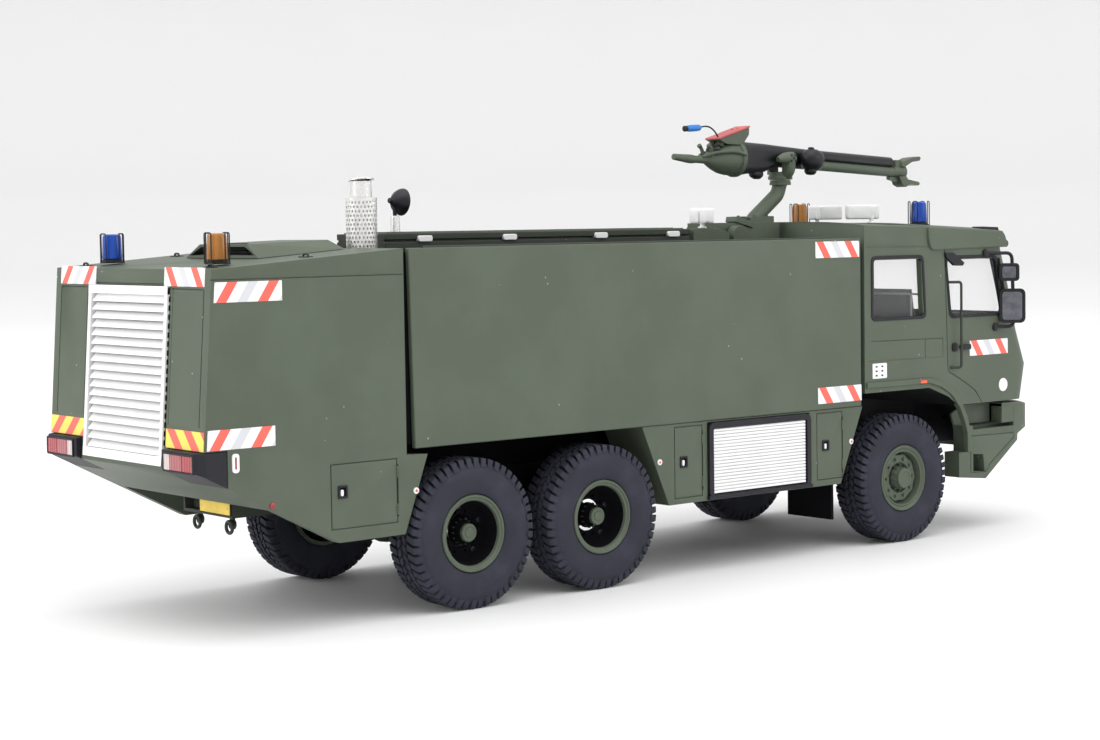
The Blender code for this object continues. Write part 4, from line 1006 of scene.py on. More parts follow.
def build_tail_lamps():
    """The tail lamps with their lenses and bezels."""
    for label, side in SIDES.items():
        node = f"tail_lamp_{label}"
        engraved(node, "seal", edge=0.12, segments=3)
        box_ = Box(node)
        face = box_.rear
        x0, x1 = side * (GRILLE.half + 1.25), side * (TAIL.half - 0.8)
        z0, z1 = TAIL_FOOT + 0.3, box_.top - 0.32
        frame_ = Shape(f"{node}_bezel", "seal")
        frame_.ring(round_box(x0 - side * 0.18, x1 + side * 0.18, z0 - 0.16, z1 + 0.14, 0.2),
            round_box(x0, x1, z0, z1, 0.12), (face - 0.2, face + 0.14), "Y")
        frame_.finish(edge=0.03, segments=1)
        lens = Shape(f"{node}_lenses", "lens_clear")
        span = x1 - x0
        for look, start, end in (("lens_clear", 0.0, 0.2), ("lens_pink", 0.215, 0.62),
                ("lens_red", 0.635, 1.0)):
            outline = round_box(x0 + span * start, x0 + span * end, z0, z1, 0.07, 2)
            lens.paint(look).slab(outline, (face - 0.12, face + 0.1), "Y")
        lens.finish(edge=0.05, segments=2)


def build_sides():
    """The flanks with their lockers and shutters."""
    for label, side in SIDES.items():
        engraved(f"side_panel_{label}", "paint", edge=0.1)
        cuts = Shape("locker_cuts", "matt_black")
        plane = side * LOCKER.half
        for key in ("locker_rear", "locker_front"):
            engrave_door(cuts, DOORS[key], plane)
        engraved(f"mid_locker_{label}", "paint", cuts, edge=0.07)
        for key in ("locker_rear", "locker_front"):
            door_fittings(f"{key}_{label}", DOORS[key], plane)
        build_shutter(label, side)
        engraved(f"front_mudflap_{label}", "matt_black", edge=0)
    engraved("body_core", "matt_black", edge=0.08)


def build_shutter(label, side):
    """A roller shutter with its frame and slats."""
    plane = side * SHUTTER.half
    rear, front, low, top = SHUTTER.rear, SHUTTER.front, SHUTTER.bottom, SHUTTER.top
    corners = [(rear, low), (rear, top), (front, top), (front, low)]
    outer = round_outline(corners, 0.8)
    bar = 0.62
    inner = round_outline([(rear - bar, low + 0.42), (rear - bar, top - bar), (front + bar, top - bar),
        (front + bar, low + 0.42)], 0.3)
    shape = Shape(f"roller_shutter_{label}_slatted", "seal")
    shape.ring(outer, inner, (plane - side * 0.5, plane + side * 0.2))
    shape.box((plane - side * 0.4, plane + side * 0.3), (rear + 0.12, front - 0.12),
        (low - 0.05, low + 0.32))
    shape.paint("matt_black").slab([(rear - 0.3, low + 0.2), (rear - 0.3, top - 0.3),
        (front + 0.3, top - 0.3), (front + 0.3, low + 0.2)], (plane - side * 0.45, plane - side * 0.3))
    slats = settings().shutter_slats
    z0, z1 = low + 0.5, top - bar - 0.05
    pitch = (z1 - z0) / slats
    shape.paint("enamel")
    for k in range(slats):
        z = z0 + pitch * k
        section = [(plane - side * 0.3, z + 0.02), (plane + side * 0.02, z + 0.03),
            (plane + side * 0.1, z + pitch * 0.2),
                   (plane + side * 0.12, z + pitch * 0.5), (plane + side * 0.08, z + pitch * 0.8), (plane,
                       z + pitch * 0.97),
                   (plane - side * 0.3, z + pitch * 0.97)]
        shape.loft([[(x, y, h) for x, h in section] for y in (rear - bar - 0.08, front + bar + 0.2)])
    shape.finish(edge=0.02, segments=1, angle=40, replaces=(f"roller_shutter_{label}",))


# --- cab ------------------------------------------------------------------------------------------
WINDOWS = {
    "crew": [(-56.75, 25.15), (-56.75, 32.1), (-64.9, 32.1), (-65.35, 25.15)],
    "door": [(-70.1, 25.0), (-69.3, 31.9), (-77.95, 31.9), (-79.2, 25.0)],
}
SEAM = [(-68.95, 33.2), (-69.5, 18.9), (-71.8, 17.85), (-74.4, 16.4), (-75.5, 15.0)]
ARCH_LIP = [(-55.5, 18.05), (-66.2, 18.03), (-68.2, 17.5), (-70.2, 16.4), (-71.7, 14.7), (-72.6, 12.9),
    (-73.05, 11.4), (-73.07, 9.3)]
SCREEN_LOW, SCREEN_TOP = 25.1, 31.9


def ribbon(path, width):
    """A closed outline of a line of some width along a path of (y, z) points."""
    left, right = [], []
    for i, point in enumerate(path):
        before, after = Vector(path[max(i - 1, 0)]), Vector(path[min(i + 1, len(path) - 1)])
        direction = (after - before).normalized()
        across = Vector((-direction.y, direction.x)) * width / 2
        left.append(tuple(Vector(point) + across))
        right.append(tuple(Vector(point) - across))
    return [*left, *right[::-1]]


def strip(shape, path, width, ends):
    """A strip along a path of (y, z) points, built in short straight pieces that share their ends."""
    outline = ribbon(path, width)
    size = len(path)
    near, far = ends
    rings = []
    for i in range(size):
        a, b = outline[i], outline[2 * size - 1 - i]
        rings.append([(near, *a), (far, *a), (far, *b), (near, *b)])
    shape.loft(rings)


def build_cab_shell():
    """The cab with its door joints engraved and painted shade inside its wheel arches."""
    cuts = Shape("cab_cuts", "matt_black")
    for side in (-1, 1):
        plane = side * CAB.half
        ends = (plane - side * 0.13, plane + side * 0.6)
        strip(cuts, rounded_flat(SEAM, 0.5), GROOVE, ends)
        strip(cuts, [(-56.4, 22.95), (-68.6, 22.8)], 0.1, (plane - side * 0.1, plane + side * 0.6))
        for y in (-65.5, -68.6):
            strip(cuts, [(y, 22.85), (y, 20.7)], 0.08, (plane - side * 0.08, plane + side * 0.6))
        strip(cuts, [(-55.9, 20.75), (-68.6, 20.65)], 0.06, (plane - side * 0.05, plane + side * 0.6))
    shell = engraved("cab_shell", "paint", cuts, edge=0.16, angle=50, segments=3)
    # Faces inside the wheel arch take the cuts' matt black: painted shade inside the arch.
    arch_shade_index = len(shell.data.materials) - 1
    for face in shell.data.polygons:
        centre = TO_METRES.inverted() @ face.center
        inside_arch = -73.0 < centre.y < -49.0 and centre.z < 18.2 and abs(face.normal.x) < 0.5
        if inside_arch and abs(centre.x) < CAB.half - 0.4:
            face.material_index = arch_shade_index
    for label, side in SIDES.items():
        build_cab_side(label, side)
    build_roof_cap()
    build_cab_front()
    engraved("cab_glazing", "glass", edge=0.0)


def rounded_flat(corners, radius):
    return [tuple(point) for point in rounded_path(corners, radius)]


def build_cab_side(label, side):
    """The windows, door fittings and steps on one side of the cab."""
    plane = side * CAB.half
    rubber, sill = settings().rubber_width / MM, 0.38

    def out(reach):
        return plane + side * reach

    for name, corners in WINDOWS.items():
        low = min(z for _, z in corners) + 1.0
        inner = round_outline([(y, z + (sill if z < low else 0.0)) for y, z in corners], 0.75, 5)
        middle = sum((Vector(corner) for corner in corners), Vector((0, 0))) / 4
        outer = []
        for point in inner:
            away = Vector(point) - middle
            grown = [math.copysign(rubber, v) * min(1, abs(v) / 1.2) for v in away]
            outer.append(tuple(Vector(point) + Vector(grown)))
        shape = Shape(f"{name}_window_rubber_{label}", "seal")
        shape.ring(outer, inner, (out(-0.35), out(0.1)))
        shape.finish(edge=0.06, segments=2)
    trim = Shape(f"cab_trim_{label}")
    strip(trim, [(-55.6, 33.55), (-65.9, 33.4)], 0.13, (out(-0.05), out(0.08)))
    strip(trim, rounded_flat(ARCH_LIP, 0.4), 0.62, (out(-0.5), out(0.22)))
    trim.finish(edge=0.07, segments=2)
    fittings = Shape(f"cab_fittings_{label}", "black")
    fittings.slab(round_box(-70.15, -71.1, 21.15, 22.15, 0.3), (out(-0.02), out(0.16)))
    fittings.slab(round_box(-71.6, -73.2, 21.3, 21.95, 0.18), (out(0.22), out(0.42)))
    fittings.box((out(0.0), out(0.3)), (-71.75, -71.5), (21.45, 21.8))
    fittings.box((out(0.0), out(0.3)), (-73.1, -72.85), (21.45, 21.8))
    fittings.slab([(-68.85, 32.6), (-70.3, 32.6), (-72.2, 31.4), (-71.9, 31.05), (-70.4, 31.1),
        (-68.95, 32.1)], (out(-0.1), out(0.3)))
    fittings.finish(edge=0.06, segments=2)
    badge = Shape(f"cab_plates_{label}", "enamel")
    badge.slab(round_box(-56.55, -58.9, 18.75, 20.45, 0.12), (out(-0.02), out(0.07)))
    badge.at(plane, -79.45, 16.8).turned([(-side * 0.02, 0), (-side * 0.02, 0.78), (side * 0.06, 0.78),
        (side * 0.08, 0.7), (side * 0.08, 0)], steps=40)
    badge.at().paint("seal")
    for row in range(3):
        for column in range(2):
            y, z = -57.0 - column * 0.95, 20.1 - row * 0.5
            badge.box((out(0.05), out(0.1)), (y, y - 0.32), (z - 0.1, z + 0.08))
    badge.paint("orange").slab(round_box(-64.4, -65.5, 17.8, 18.15, 0.12), (out(0.1), out(0.3)))
    badge.finish(edge=0.02, segments=1)
    engraved(f"grab_rail_{label}", "dark_paint", edge=0.0)


def cab_roof(x, y):
    """The height of the cab's roof, which falls to the front from its middle and is crowned across."""
    middle_y, middle_z, fall, crown = -64.8, 35.6, 0.7 / 14.6, 0.5
    return middle_z + fall * (y - middle_y) + crown * (1 - (x / CAB.half) ** 4)


def build_roof_cap():
    """The cap that stands proud over the front of the roof, its marker boxes and the lug lamps."""
    shape = Shape("roof_cap")
    stations, proud = 17, 0.14
    rings = []
    for k in range(stations):
        x = (CAB.half + 0.1) * (2 * k / (stations - 1) - 1)
        inside = max(-CAB.half, min(CAB.half, x))
        front = -79.5 - nose_reach(inside)
        top = [(x, y, cab_roof(inside, y) + lift) for y, lift in
               ((-65.75, 0.02), (-66.0, proud), (-78.8, proud), (front, proud * 0.6))]
        low = [(x, front - 0.62, 33.45), (x, front - 0.45, 33.2), (x, front + 0.3, 33.3),
            (x, front + 0.5, cab_roof(inside, -79.0) - 0.4),
               (x, -66.0, cab_roof(inside, -66.0) - 0.3)]
        rings.append([*top, *low])
    shape.loft(rings)
    for side in (-1, 1):
        cheek = round_outline([(-65.8, 35.66), (-66.2, 32.95), (-80.2, 33.1), (-79.5, 35.0)], 0.9, 6)
        shape.slab(cheek, (side * (CAB.half - 0.3), side * (CAB.half + 0.3)))
    shape.finish(edge=0.16, segments=3, angle=50)
    lamps = Shape("roof_markers", "black")
    for side in (-1, 1):
        near, far = side * 12.2, side * 13.9
        lamps.slab([(-76.2, 34.9), (-76.5, 35.55), (-79.2, 35.45), (-79.5, 34.8)], (near, far))
        lamps.paint("orange").box((near + side * 0.25, far - side * 0.25), (-79.3, -79.5), (34.95, 35.3))
        lamps.paint("paint").at(side * 13.9, -80.35,
            33.5).turned([(-0.3, 0.2), (-0.3, 0.42), (0.3, 0.42), (0.3, 0.2)], "X", 24)
        lamps.at().tube([(side * 13.9, -79.9, 33.4), (side * 13.9, -80.2, 33.3)], 0.16, 8)
        lamps.paint("black")
    lamps.finish(edge=0.05, segments=2)


def nose_reach(x):
    """How far the front of the cab bulges at x."""
    return 0.6 * (1 - (x / CAB.half) ** 2)


FRONT_LINE = [(14.9, -83.7), (19.1, -84.6), (23.2, -83.0), (28.2, -81.65), (32.9, -80.15)]


def front_y(z):
    for (z0, y0), (z1, y1) in zip(FRONT_LINE, FRONT_LINE[1:]):
        if z <= z1:
            return y0 + (y1 - y0) * (z - z0) / (z1 - z0)
    return FRONT_LINE[-1][1]


def on_front(x, z, proud=0.0):
    return (x, front_y(z) - nose_reach(x) - proud, z)


def front_bar(shape, points, width, proud=0.14, sunk=0.12):
    """A strip over the curved front, along (x, z) points."""
    outline = ribbon(points, width)
    size = len(points)
    rings = []
    for i in range(size):
        a, b = outline[i], outline[2 * size - 1 - i]
        rings.append([on_front(*a, -sunk), on_front(*a, proud), on_front(*b, proud), on_front(*b, -sunk)])
    shape.loft(rings)


def spread(a, b, steps):
    """Points from a to b, evenly spread."""
    return [tuple(Vector(a).lerp(Vector(b), k / steps)) for k in range(steps + 1)]


def build_cab_front():
    """The windscreen rubber, lower windows and nose of the cab."""
    rubber = Shape("windscreen_rubber", "seal")
    half = CAB.half - 2.4
    for z in (SCREEN_LOW - 0.05, SCREEN_TOP + 0.05):
        front_bar(rubber, spread((-half - 0.2, z), (half + 0.2, z), 16), 0.55)
    for x in (-half - 0.05, half + 0.05):
        front_bar(rubber, spread((x, SCREEN_LOW), (x, SCREEN_TOP), 6), 0.5)
    rubber.finish(edge=0.06, segments=2)
    wipers = Shape("wipers", "matt_black")
    for x in (-7.5, 2.5):
        pivot, tip = on_front(x, 24.2, 0.25), on_front(x + 4.6, 25.0, 0.35)
        wipers.at(*on_front(x, 24.2, 0.1)).turned([(-0.35, 0), (-0.35, 0.28), (0.1, 0.3), (0.1, 0)], "Y", 16)
        wipers.at().tube([pivot, tip], 0.12, 8)
        blade = [on_front(x + 2.0 + k * 1.3, 24.9 + k * 0.1, 0.22) for k in range(5)]
        wipers.tube(blade, 0.1, 6)
    wipers.finish()
    front = Shape("front_lines", "dark_paint")
    for z in (17.2, 17.9, 18.6):
        front_bar(front, spread((-5.2, z), (5.2, z), 10), 0.22, 0.05, 0.2)
    for z in (22.9, 20.4):
        front_bar(front, spread((-11.8, z), (11.8, z), 14), 0.1, 0.02, 0.2)
    front.finish()
    trim = Shape("front_frame")
    for z in (16.6, 19.2):
        front_bar(trim, spread((-5.8, z), (5.8, z), 10), 0.24, 0.16, 0.1)
    for x in (-5.8, 5.8):
        front_bar(trim, spread((x, 16.6), (x, 19.2), 4), 0.24, 0.16, 0.1)
    trim.finish(edge=0.05, segments=2)


def build_bumper():
    """The bumper with its lamps and towing loops."""
    cuts = Shape("bumper_cuts", "matt_black")
    side_line = [(-73.5, 11.1), (-81.4, 10.95), (-81.4, 10.4), (-77.0, 7.6), (-76.3, 6.7), (-73.5, 6.8)]
    for side in (-1, 1):
        plane = side * BUMPER.half
        outline = [*side_line, side_line[0]]
        strip(cuts, outline, 0.1, (plane - side * 0.12, plane + side * 0.6))
        slot = [(-73.95, 6.9), (-73.95, 8.95), (-75.75, 8.8), (-76.05, 6.75)]
        cuts.slab(slot, (plane - side * 2.6, plane + side * 0.6))
        cuts.paint("paint").box((plane - side * 1.9, plane + side), (-71.0, -79.25), (12.3, 15.5))
        cuts.paint("matt_black")
    engraved("front_bumper", "paint", cuts, edge=0.09, angle=45)
    corners = Shape("bumper_corners")
    for side in (-1, 1):
        plane = side * BUMPER.half
        corners.slab([(-79.25, 12.25), (-79.25, 14.55), (-82.3, 14.55), (-82.3, 12.3)],
            (plane - side * 2.6, plane - side * 0.02))
        for k in range(14):
            y = -74.2 - k * 0.37
            corners.paint("dark_paint").box((plane - side * 1.8, plane - side * 0.1), (y, y - 0.14),
                (12.26, 12.36))
        corners.paint("paint")
    corners.finish(edge=0.09, segments=2)
    lamps = Shape("headlamps", "black")
    face = BUMPER.front
    for side in (-1, 1):
        for x, radius in ((8.4, 1.05), (11.2, 0.8)):
            y = face + 0.62 * (x / CAB.half) ** 2 + 0.02
            lamps.paint("black").at(side * x, y, 13.0)
            lamps.turned([(0.3, 0), (0.3, radius + 0.2), (-0.14, radius + 0.2), (-0.14, radius),
                (-0.02, radius), (-0.02, 0)], "Y", 32)
            lamps.paint("lens_clear").turned([(-0.04, 0), (-0.04, radius - 0.02), (-0.14, radius * 0.8),
                (-0.2, 0)], "Y", 32)
        lamps.paint("orange").at(side * 12.85, face + 1.05, 13.0, (0, 0, side * 32)).box((-0.55, 0.55),
            (-0.12, 0.25), (-0.5, 0.5))
    lamps.at().finish(edge=0.04, segments=1)
    plate = Shape("front_plate", "plate")
    plate.slab(round_box(-3.0, 3.0, 12.35, 13.6, 0.12), (face + 0.1, face - 0.1), "Y")
    plate.paint("dark_paint").slab(round_box(-4.9, 4.9, 12.0, 13.9, 0.2), (face + 0.2, face - 0.02), "Y")
    for x in (-6.1, 6.1):
        path = rounded_path([(x - 0.45, face + 0.2, 12.5), (x - 0.45, face - 0.55, 12.5),
            (x + 0.45, face - 0.55, 12.5), (x + 0.45, face + 0.2, 12.5)], 0.35)
        plate.paint("dark_paint").tube(path, 0.16, 8)
    plate.finish(edge=0.03, segments=1)


def build_cab_interior():
    """The seats, steering wheel and rail inside the cab."""
    engraved("cab_interior", "seat", edge=0.22, segments=3, angle=25)
    engraved("steering_wheel", "black", edge=0.06)
    floor, rail_y, rail_z = Box("cab_interior").bottom, -66.4, 27.9
    seats = Shape("seat_cushions", "seat")
    for x in (-6.8, 6.8):
        seats.slab(round_box(-67.0, -68.5, 21.9, 27.2, 0.6), (x - 2.6, x + 2.6))
        seats.slab(round_box(-68.0, -73.3, 20.9, 22.1, 0.5), (x - 2.6, x + 2.6))
    for x in (-9.4, -3.2, 3.2, 9.4):
        seats.slab(round_box(-56.7, -58.4, 22.4, 27.0, 0.6), (x - 2.5, x + 2.5))
        seats.slab(round_box(-57.4, -61.6, 22.0, 23.2, 0.5), (x - 2.5, x + 2.5))
    seats.finish(edge=0.3, segments=3, angle=40)
    rail = Shape("cab_hand_rail", "enamel")
    rail.tube([(-CAB.half + 1.4, rail_y, rail_z), (CAB.half - 1.4, rail_y, rail_z)], 0.12, 8)
    for x in (-11.5, 0.0, 11.5):
        rail.tube([(x, rail_y, floor + 2.5), (x, rail_y, rail_z)], 0.12, 8)
    rail.finish()
    dash = Shape("dashboard_details", "matt_black")
    for k in range(4):
        dash.at(4.9 + k * 1.1, -75.9, 24.3, (-25, 0, 0)).turned([(-0.1, 0), (-0.1, 0.42), (0.1, 0.42),
            (0.1, 0)], "Y", 20)
    dash.at().finish()


def build_mirrors():
    """The door mirrors on their arms."""
    for label, side in SIDES.items():
        node = f"door_mirror_{label}"
        box_ = Box(node)
        x0, x1 = side * (CAB.half + 0.02), side * (CAB.half + 1.25)
        upper, lower = box_.top - 0.2, box_.bottom + 0.2
        shape = Shape(f"{node}_finished", "black")
        arm = rounded_path([(x0, -76.2, upper), (x1, -79.6, upper), (x1, -79.95, lower),
            (x0, -78.0, lower)], 0.8, 8)
        shape.tube(arm, 0.21, 12)
        for y, z in ((-76.2, upper), (-78.0, lower)):
            shape.at(x0, y, z).turned([(-side * 0.05, 0), (-side * 0.05, 0.5), (side * 0.16, 0.5),
                (side * 0.3, 0.3), (side * 0.3, 0)], steps=20)
        shape.at()
        heads = ((-80.3, -77.95, 29.1, 31.2, 0.42), (-81.2, -78.15, 24.15, 28.2, 0.6))
        for front, rear, low, top, corner in heads:
            middle = Vector((x1, (front + rear) / 2, (low + top) / 2))
            wide, tall = (rear - front) / 2, (top - low) / 2
            shape.at(*middle, (0, 0, side * 52))
            sections = []
            for reach, share in ((0.0, 1.0), (0.25, 1.0), (0.6, 0.93), (0.85, 0.78), (0.95, 0.55)):
                outline = round_box(-wide * share, wide * share, -tall * share, tall * share, corner * share)
                sections.append([(side * -reach + side * 0.15, a, b) for a, b in outline])
            shape.paint("black").loft(sections)
            rim_out = round_box(-wide, wide, -tall, tall, corner)
            wide, tall = wide - 0.32, tall - 0.32
            rim_in = round_box(-wide, wide, -tall, tall, corner * 0.7)
            shape.ring(rim_out, rim_in, (side * 0.1, side * 0.34))
            shape.paint("mirror").slab(rim_in, (side * 0.1, side * 0.22))
        shape.paint("black").at(x1, -80.2, 30.1).turned([(-0.35, 0), (-0.35, 0.3), (0.35, 0.3),
            (0.35, 0)], "Y", 12)
        shape.at().finish(edge=0.05, segments=2, replaces=(node,))


# --- roof -----------------------------------------------------------------------------------------
def build_walkway():
    """The walkway on the roof with its clips."""
    engraved("roof_walkway", "dark_paint", edge=0.07)
    top, half = WALKWAY.top, WALKWAY.half
    clips = Shape("walkway_clips", "enamel")
    for side in (-1, 1):
        for y in (-2.4, -13.1, -25.4, -35.8):
            outline = round_box(y - 0.85, y + 0.85, top - 0.82, top - 0.22, 0.2, 3)
            clips.slab(outline, (side * (half - 0.3), side * (half + 0.28)))
    clips.finish(edge=0.06, segments=2)
    plates = Shape("walkway_plates")
    lengths = (-38.0, -29.8, -19.6, -9.4, 1.9)
    for y0, y1 in zip(lengths, lengths[1:]):
        plates.slab(round_box(-half + 0.35, half - 0.35, y0 + 0.12, y1 - 0.12, 0.3),
            (top - 0.05, top + 0.12), "Z")
    plates.finish(edge=0.05, segments=2)
    treads = Shape("walkway_treads", "dark_paint")
    for k in range(36):
        y = -37.0 + k * 1.06
        for x in (-2.2, 0.0, 2.2):
            treads.box((x - 0.8, x + 0.8), (y, y + 0.16), (top + 0.1, top + 0.17))
    treads.finish(smooth=False)
    deck = Shape("deck_fittings", "dark_paint")
    for x in (-9.2, 9.2):
        for y in (-8.0, -22.0, -36.0):
            deck.at(x, y, CORE.top).turned([(-0.1, 0), (-0.1, 1.5), (0.22, 1.45), (0.3, 1.2), (0.3, 0)],
                "Z", 40)
            deck.nut(0.9, 0, 0.3, 0.16, 0.16, "Z")
            deck.nut(-0.9, 0, 0.3, 0.16, 0.16, "Z")
    deck.at()
    for x in (-13.2, 13.2):
        deck.tube([(x, 4.5, CORE.top + 0.35), (x, -50.0, CORE.top + 0.35)], 0.18, 8)
    deck.finish(edge=0.03, segments=1)
    seams = Shape("deck_seams", "dark_paint")
    for y in (-15.0, -29.0, -43.0):
        for side in (-1, 1):
            seams.box((side * (half + 0.4), side * 12.7), (y, y + 0.14), (CORE.top - 0.05, CORE.top + 0.06))
    seams.finish(smooth=False)


def build_hatch():
    """The intake hatch with its louvres."""
    engraved("intake_hatch", "paint", edge=0.12, segments=3)
    hatch = Box("intake_hatch")
    slats = Shape("hatch_louvres", "matt_black")
    for k in range(4):
        z = roof_height(hatch.rear) + 0.35 + k * 0.32
        slats.box((-3.6 + 0.15 * k, 3.6 - 0.15 * k), (hatch.rear - 1.1, hatch.rear - 0.7), (z, z + 0.12))
    slats.finish(smooth=False)


def build_exhaust():
    """A perforated shield around a bright pipe with a slanting cap."""
    shield, pipe = Box("exhaust_shield"), Box("exhaust_pipe")
    x, y = shield.middle.x, shield.middle.y
    low, top, radius = shield.bottom, shield.top, (shield.high.x - shield.low.x) / 2
    shape = Shape("exhaust_shield_perforated", "silver").at(x, y, 0)
    columns, rows, corners = 26, 11, 8
    wall, hole = 0.12, 0.62
    height = (top - low - 0.5) / rows
    points, faces = [], []

    def add(angle, z, depth):
        points.append((depth * math.cos(angle), depth * math.sin(angle), z))
        return len(points) - 1

    pitch = 2 * math.pi / columns
    edge_dirs = [(math.cos(math.pi / 4 * k), math.sin(math.pi / 4 * k)) for k in range(corners)]
    for row in range(rows):
        for column in range(columns):
            a, z = pitch * (column + 0.5 * (row % 2)), low + 0.25 + height * (row + 0.5)
            layers = []
            for depth in (radius, radius - wall):
                outer = []
                for dx, dz in edge_dirs:
                    grow = 1 / max(abs(dx), abs(dz))
                    outer.append(add(a + dx * grow * pitch / 2, z + dz * grow * height / 2, depth))
                inner = [add(a + dx * hole * pitch / 2, z + dz * hole * height / 2, depth) for dx,
                    dz in edge_dirs]
                layers.append((outer, inner))
            (outer, inner), (outer2, inner2) = layers
            for k in range(corners):
                n = (k + 1) % corners
                faces.append((outer[k], outer[n], inner[n], inner[k]))
                faces.append((outer2[n], outer2[k], inner2[k], inner2[n]))
                faces.append((inner[k], inner[n], inner2[n], inner2[k]))
    verts = [shape.bm.verts.new(shape.matrix @ Vector(point)) for point in points]
    for face in faces:
        shape.bm.faces.new([verts[i] for i in face]).material_index = shape.index
    bmesh.ops.remove_doubles(shape.bm, verts=shape.bm.verts, dist=0.01)
    for z0, z1 in ((low, low + 0.26), (top - 0.26, top)):
        shape.turned([(z0, radius - wall), (z0, radius + 0.02), (z1, radius + 0.02), (z1, radius - wall)],
            "Z", 52)
    shape.finish(replaces=("exhaust_shield",))
    inner = Shape("exhaust_pipe_finished", "silver").at(x, y, 0)
    r, tip = 1.05, pipe.top
    inner.turned([(pipe.bottom, 0), (pipe.bottom, 1.2), (low + 0.4, 1.2), (low + 0.45, r), (tip, r),
        (tip, r - 0.2), (low + 2, r - 0.2), (low + 2, 0)], "Z", 36)
    inner.at(x - 0.1, y, tip + 0.12, (0, 7, 0)).turned([(-0.08, 0), (-0.08, r + 0.2), (0.08, r + 0.2),
        (0.14, r), (0.14, 0)], "Z", 36)
    inner.at(x + r + 0.15, y, tip).tube([(0, -0.4, 0.02), (0, 0.4, 0.02)], 0.14, 8)
    inner.finish(edge=0.02, segments=1, replaces=("exhaust_pipe",))


def build_searchlight():
    """The searchlight on the roof."""
    lamp = Box("searchlight")
    x, z = lamp.middle.x, lamp.top - 1.35
    y = lamp.front + 1.6
    shape = Shape("searchlight_finished", "black").at(x, y, z, (6, 0, 0))
    shell = [(0.95, 0), (0.9, 0.28), (0.7, 0.52), (0.3, 1.0), (-0.1, 1.26), (-0.35, 1.34), (-0.5, 1.36),
        (-0.52, 1.24), (-0.3, 1.16), (-0.3, 0)]
    shape.turned(shell, "Y", 48)
    shape.turned([(0.9, 0), (0.9, 0.3), (1.15, 0.26), (1.2, 0.15), (1.2, 0)], "Y", 20)
    shape.paint("lens_clear").turned([(-0.32, 0), (-0.32, 1.15), (-0.4, 1.1), (-0.52, 0.6), (-0.56, 0)],
        "Y", 40)
    shape.at().paint("black").tube([(x, y + 0.5, z - 0.5), (x, y + 0.45, lamp.bottom + 1.6)], 0.2, 10)
    shape.paint("silver").tube([(x, y + 0.45, lamp.bottom + 0.1), (x, y + 0.45, lamp.bottom + 1.7)],
        [0.5, 0.46], 16)
    shape.paint("dark_paint").slab(round_box(x - 0.7, x + 0.7, y - 0.3, y + 1.2, 0.2),
        (lamp.bottom, lamp.bottom + 0.14), "Z")
    shape.finish(edge=0.04, segments=2, replaces=("searchlight",))


def build_beacon(node, look):
    """A lens on a black base inside a guard of four wire loops."""
    beacon = Box(node)
    x, y, foot, height = beacon.middle.x, beacon.middle.y, beacon.bottom, beacon.top - beacon.bottom
    shape = Shape(f"{node}_finished", look).at(x, y, foot)
    lens = [(0.3, 0), (0.3, 0.8), (0.42, 0.96), (height - 0.4, 0.88), (height - 0.16, 0.8),
        (height - 0.06, 0.62), (height - 0.06, 0)]
    shape.turned(lens, "Z", 40)
    shape.paint("black").turned([(0, 0), (0, 1.12), (0.1, 1.12), (0.16, 0.98), (0.34, 0.96), (0.34, 0)],
        "Z", 36)
    for k in range(4):
        shape.at(x, y, foot, (0, 0, 20 + 90 * k))
        reach, wide, top = 1.18, 0.3, height - 0.02
        loop = rounded_path([(reach, -wide, 0.05), (reach, -wide, top), (reach, wide, top),
            (reach, wide, 0.05)], 0.22, 6)
        shape.tube(loop, 0.06, 8)
        shape.box((0.9, reach + 0.05), (-wide - 0.06, wide + 0.06), (0.0, 0.12))
    shape.finish(replaces=(node,))


def build_lamp_pair(node, heads, half=1.5):
    """Floodlights on one short stem; each head has a direction in degrees from the stem along the roof."""
    lamp = Box(node)
    x, y, foot, top = lamp.middle.x, lamp.middle.y, lamp.bottom, lamp.top
    shape = Shape(f"{node}_finished", "enamel").at(x, y, 0)
    shape.turned([(foot, 0), (foot, 0.5), (foot + 0.16, 0.5), (foot + 0.2, 0.24), (foot + 0.75, 0.28),
        (foot + 0.75, 0)], "Z", 20)
    low = foot + 0.5
    middle, tall = (low + top) / 2, (top - low) / 2
    for turn in heads:
        shape.at(x, y, 0, (0, 0, turn)).paint("enamel")
        face = -1 if math.cos(math.radians(turn)) * math.copysign(1,
            x) * math.sin(math.radians(turn)) > 0 else 1
        depths = ((0.55, 0.62), (0.48, 0.9), (0.1, 1.0), (-0.4, 1.0), (-0.5, 0.95))
        shape.loft([[(a + half + 0.1, d * face, b + middle) for a,
            b in round_box(-half * s, half * s, -tall * s, tall * s, 0.26)]
                    for d, s in depths])
        lens = round_box(0.1 + half * 0.2, 0.1 + half * 1.8, middle - tall * 0.8, middle + tall * 0.8, 0.15)
        shape.paint("lens_white").slab(lens, (-0.45 * face, -0.56 * face), "Y")
    shape.finish(edge=0.05, segments=2, replaces=(node,))


def build_roof_fittings():
    """Everything that stands on the roof."""
    build_walkway()
    build_hatch()
    build_exhaust()
    build_searchlight()
    for node, look in (
            ("rear_beacon_blue", "lens_blue"), ("rear_beacon_amber", "lens_amber"),
            ("cab_beacon_blue", "lens_blue"), ("cab_beacon_amber", "lens_amber")):
        build_beacon(node, look)
    build_lamp_pair("deck_work_lamp", (8, 172), 0.72)
    build_lamp_pair("cab_work_lamp_left", (123, 237))
    build_lamp_pair("cab_work_lamp_right", (57, -57))


# --- monitor --------------------------------------------------------------------------------------
BARREL_LEAN = (3.1, 0, 0)     # nose down, in degrees about X
UPPER_TUBE, LOWER_TUBE = 0.72, -0.42


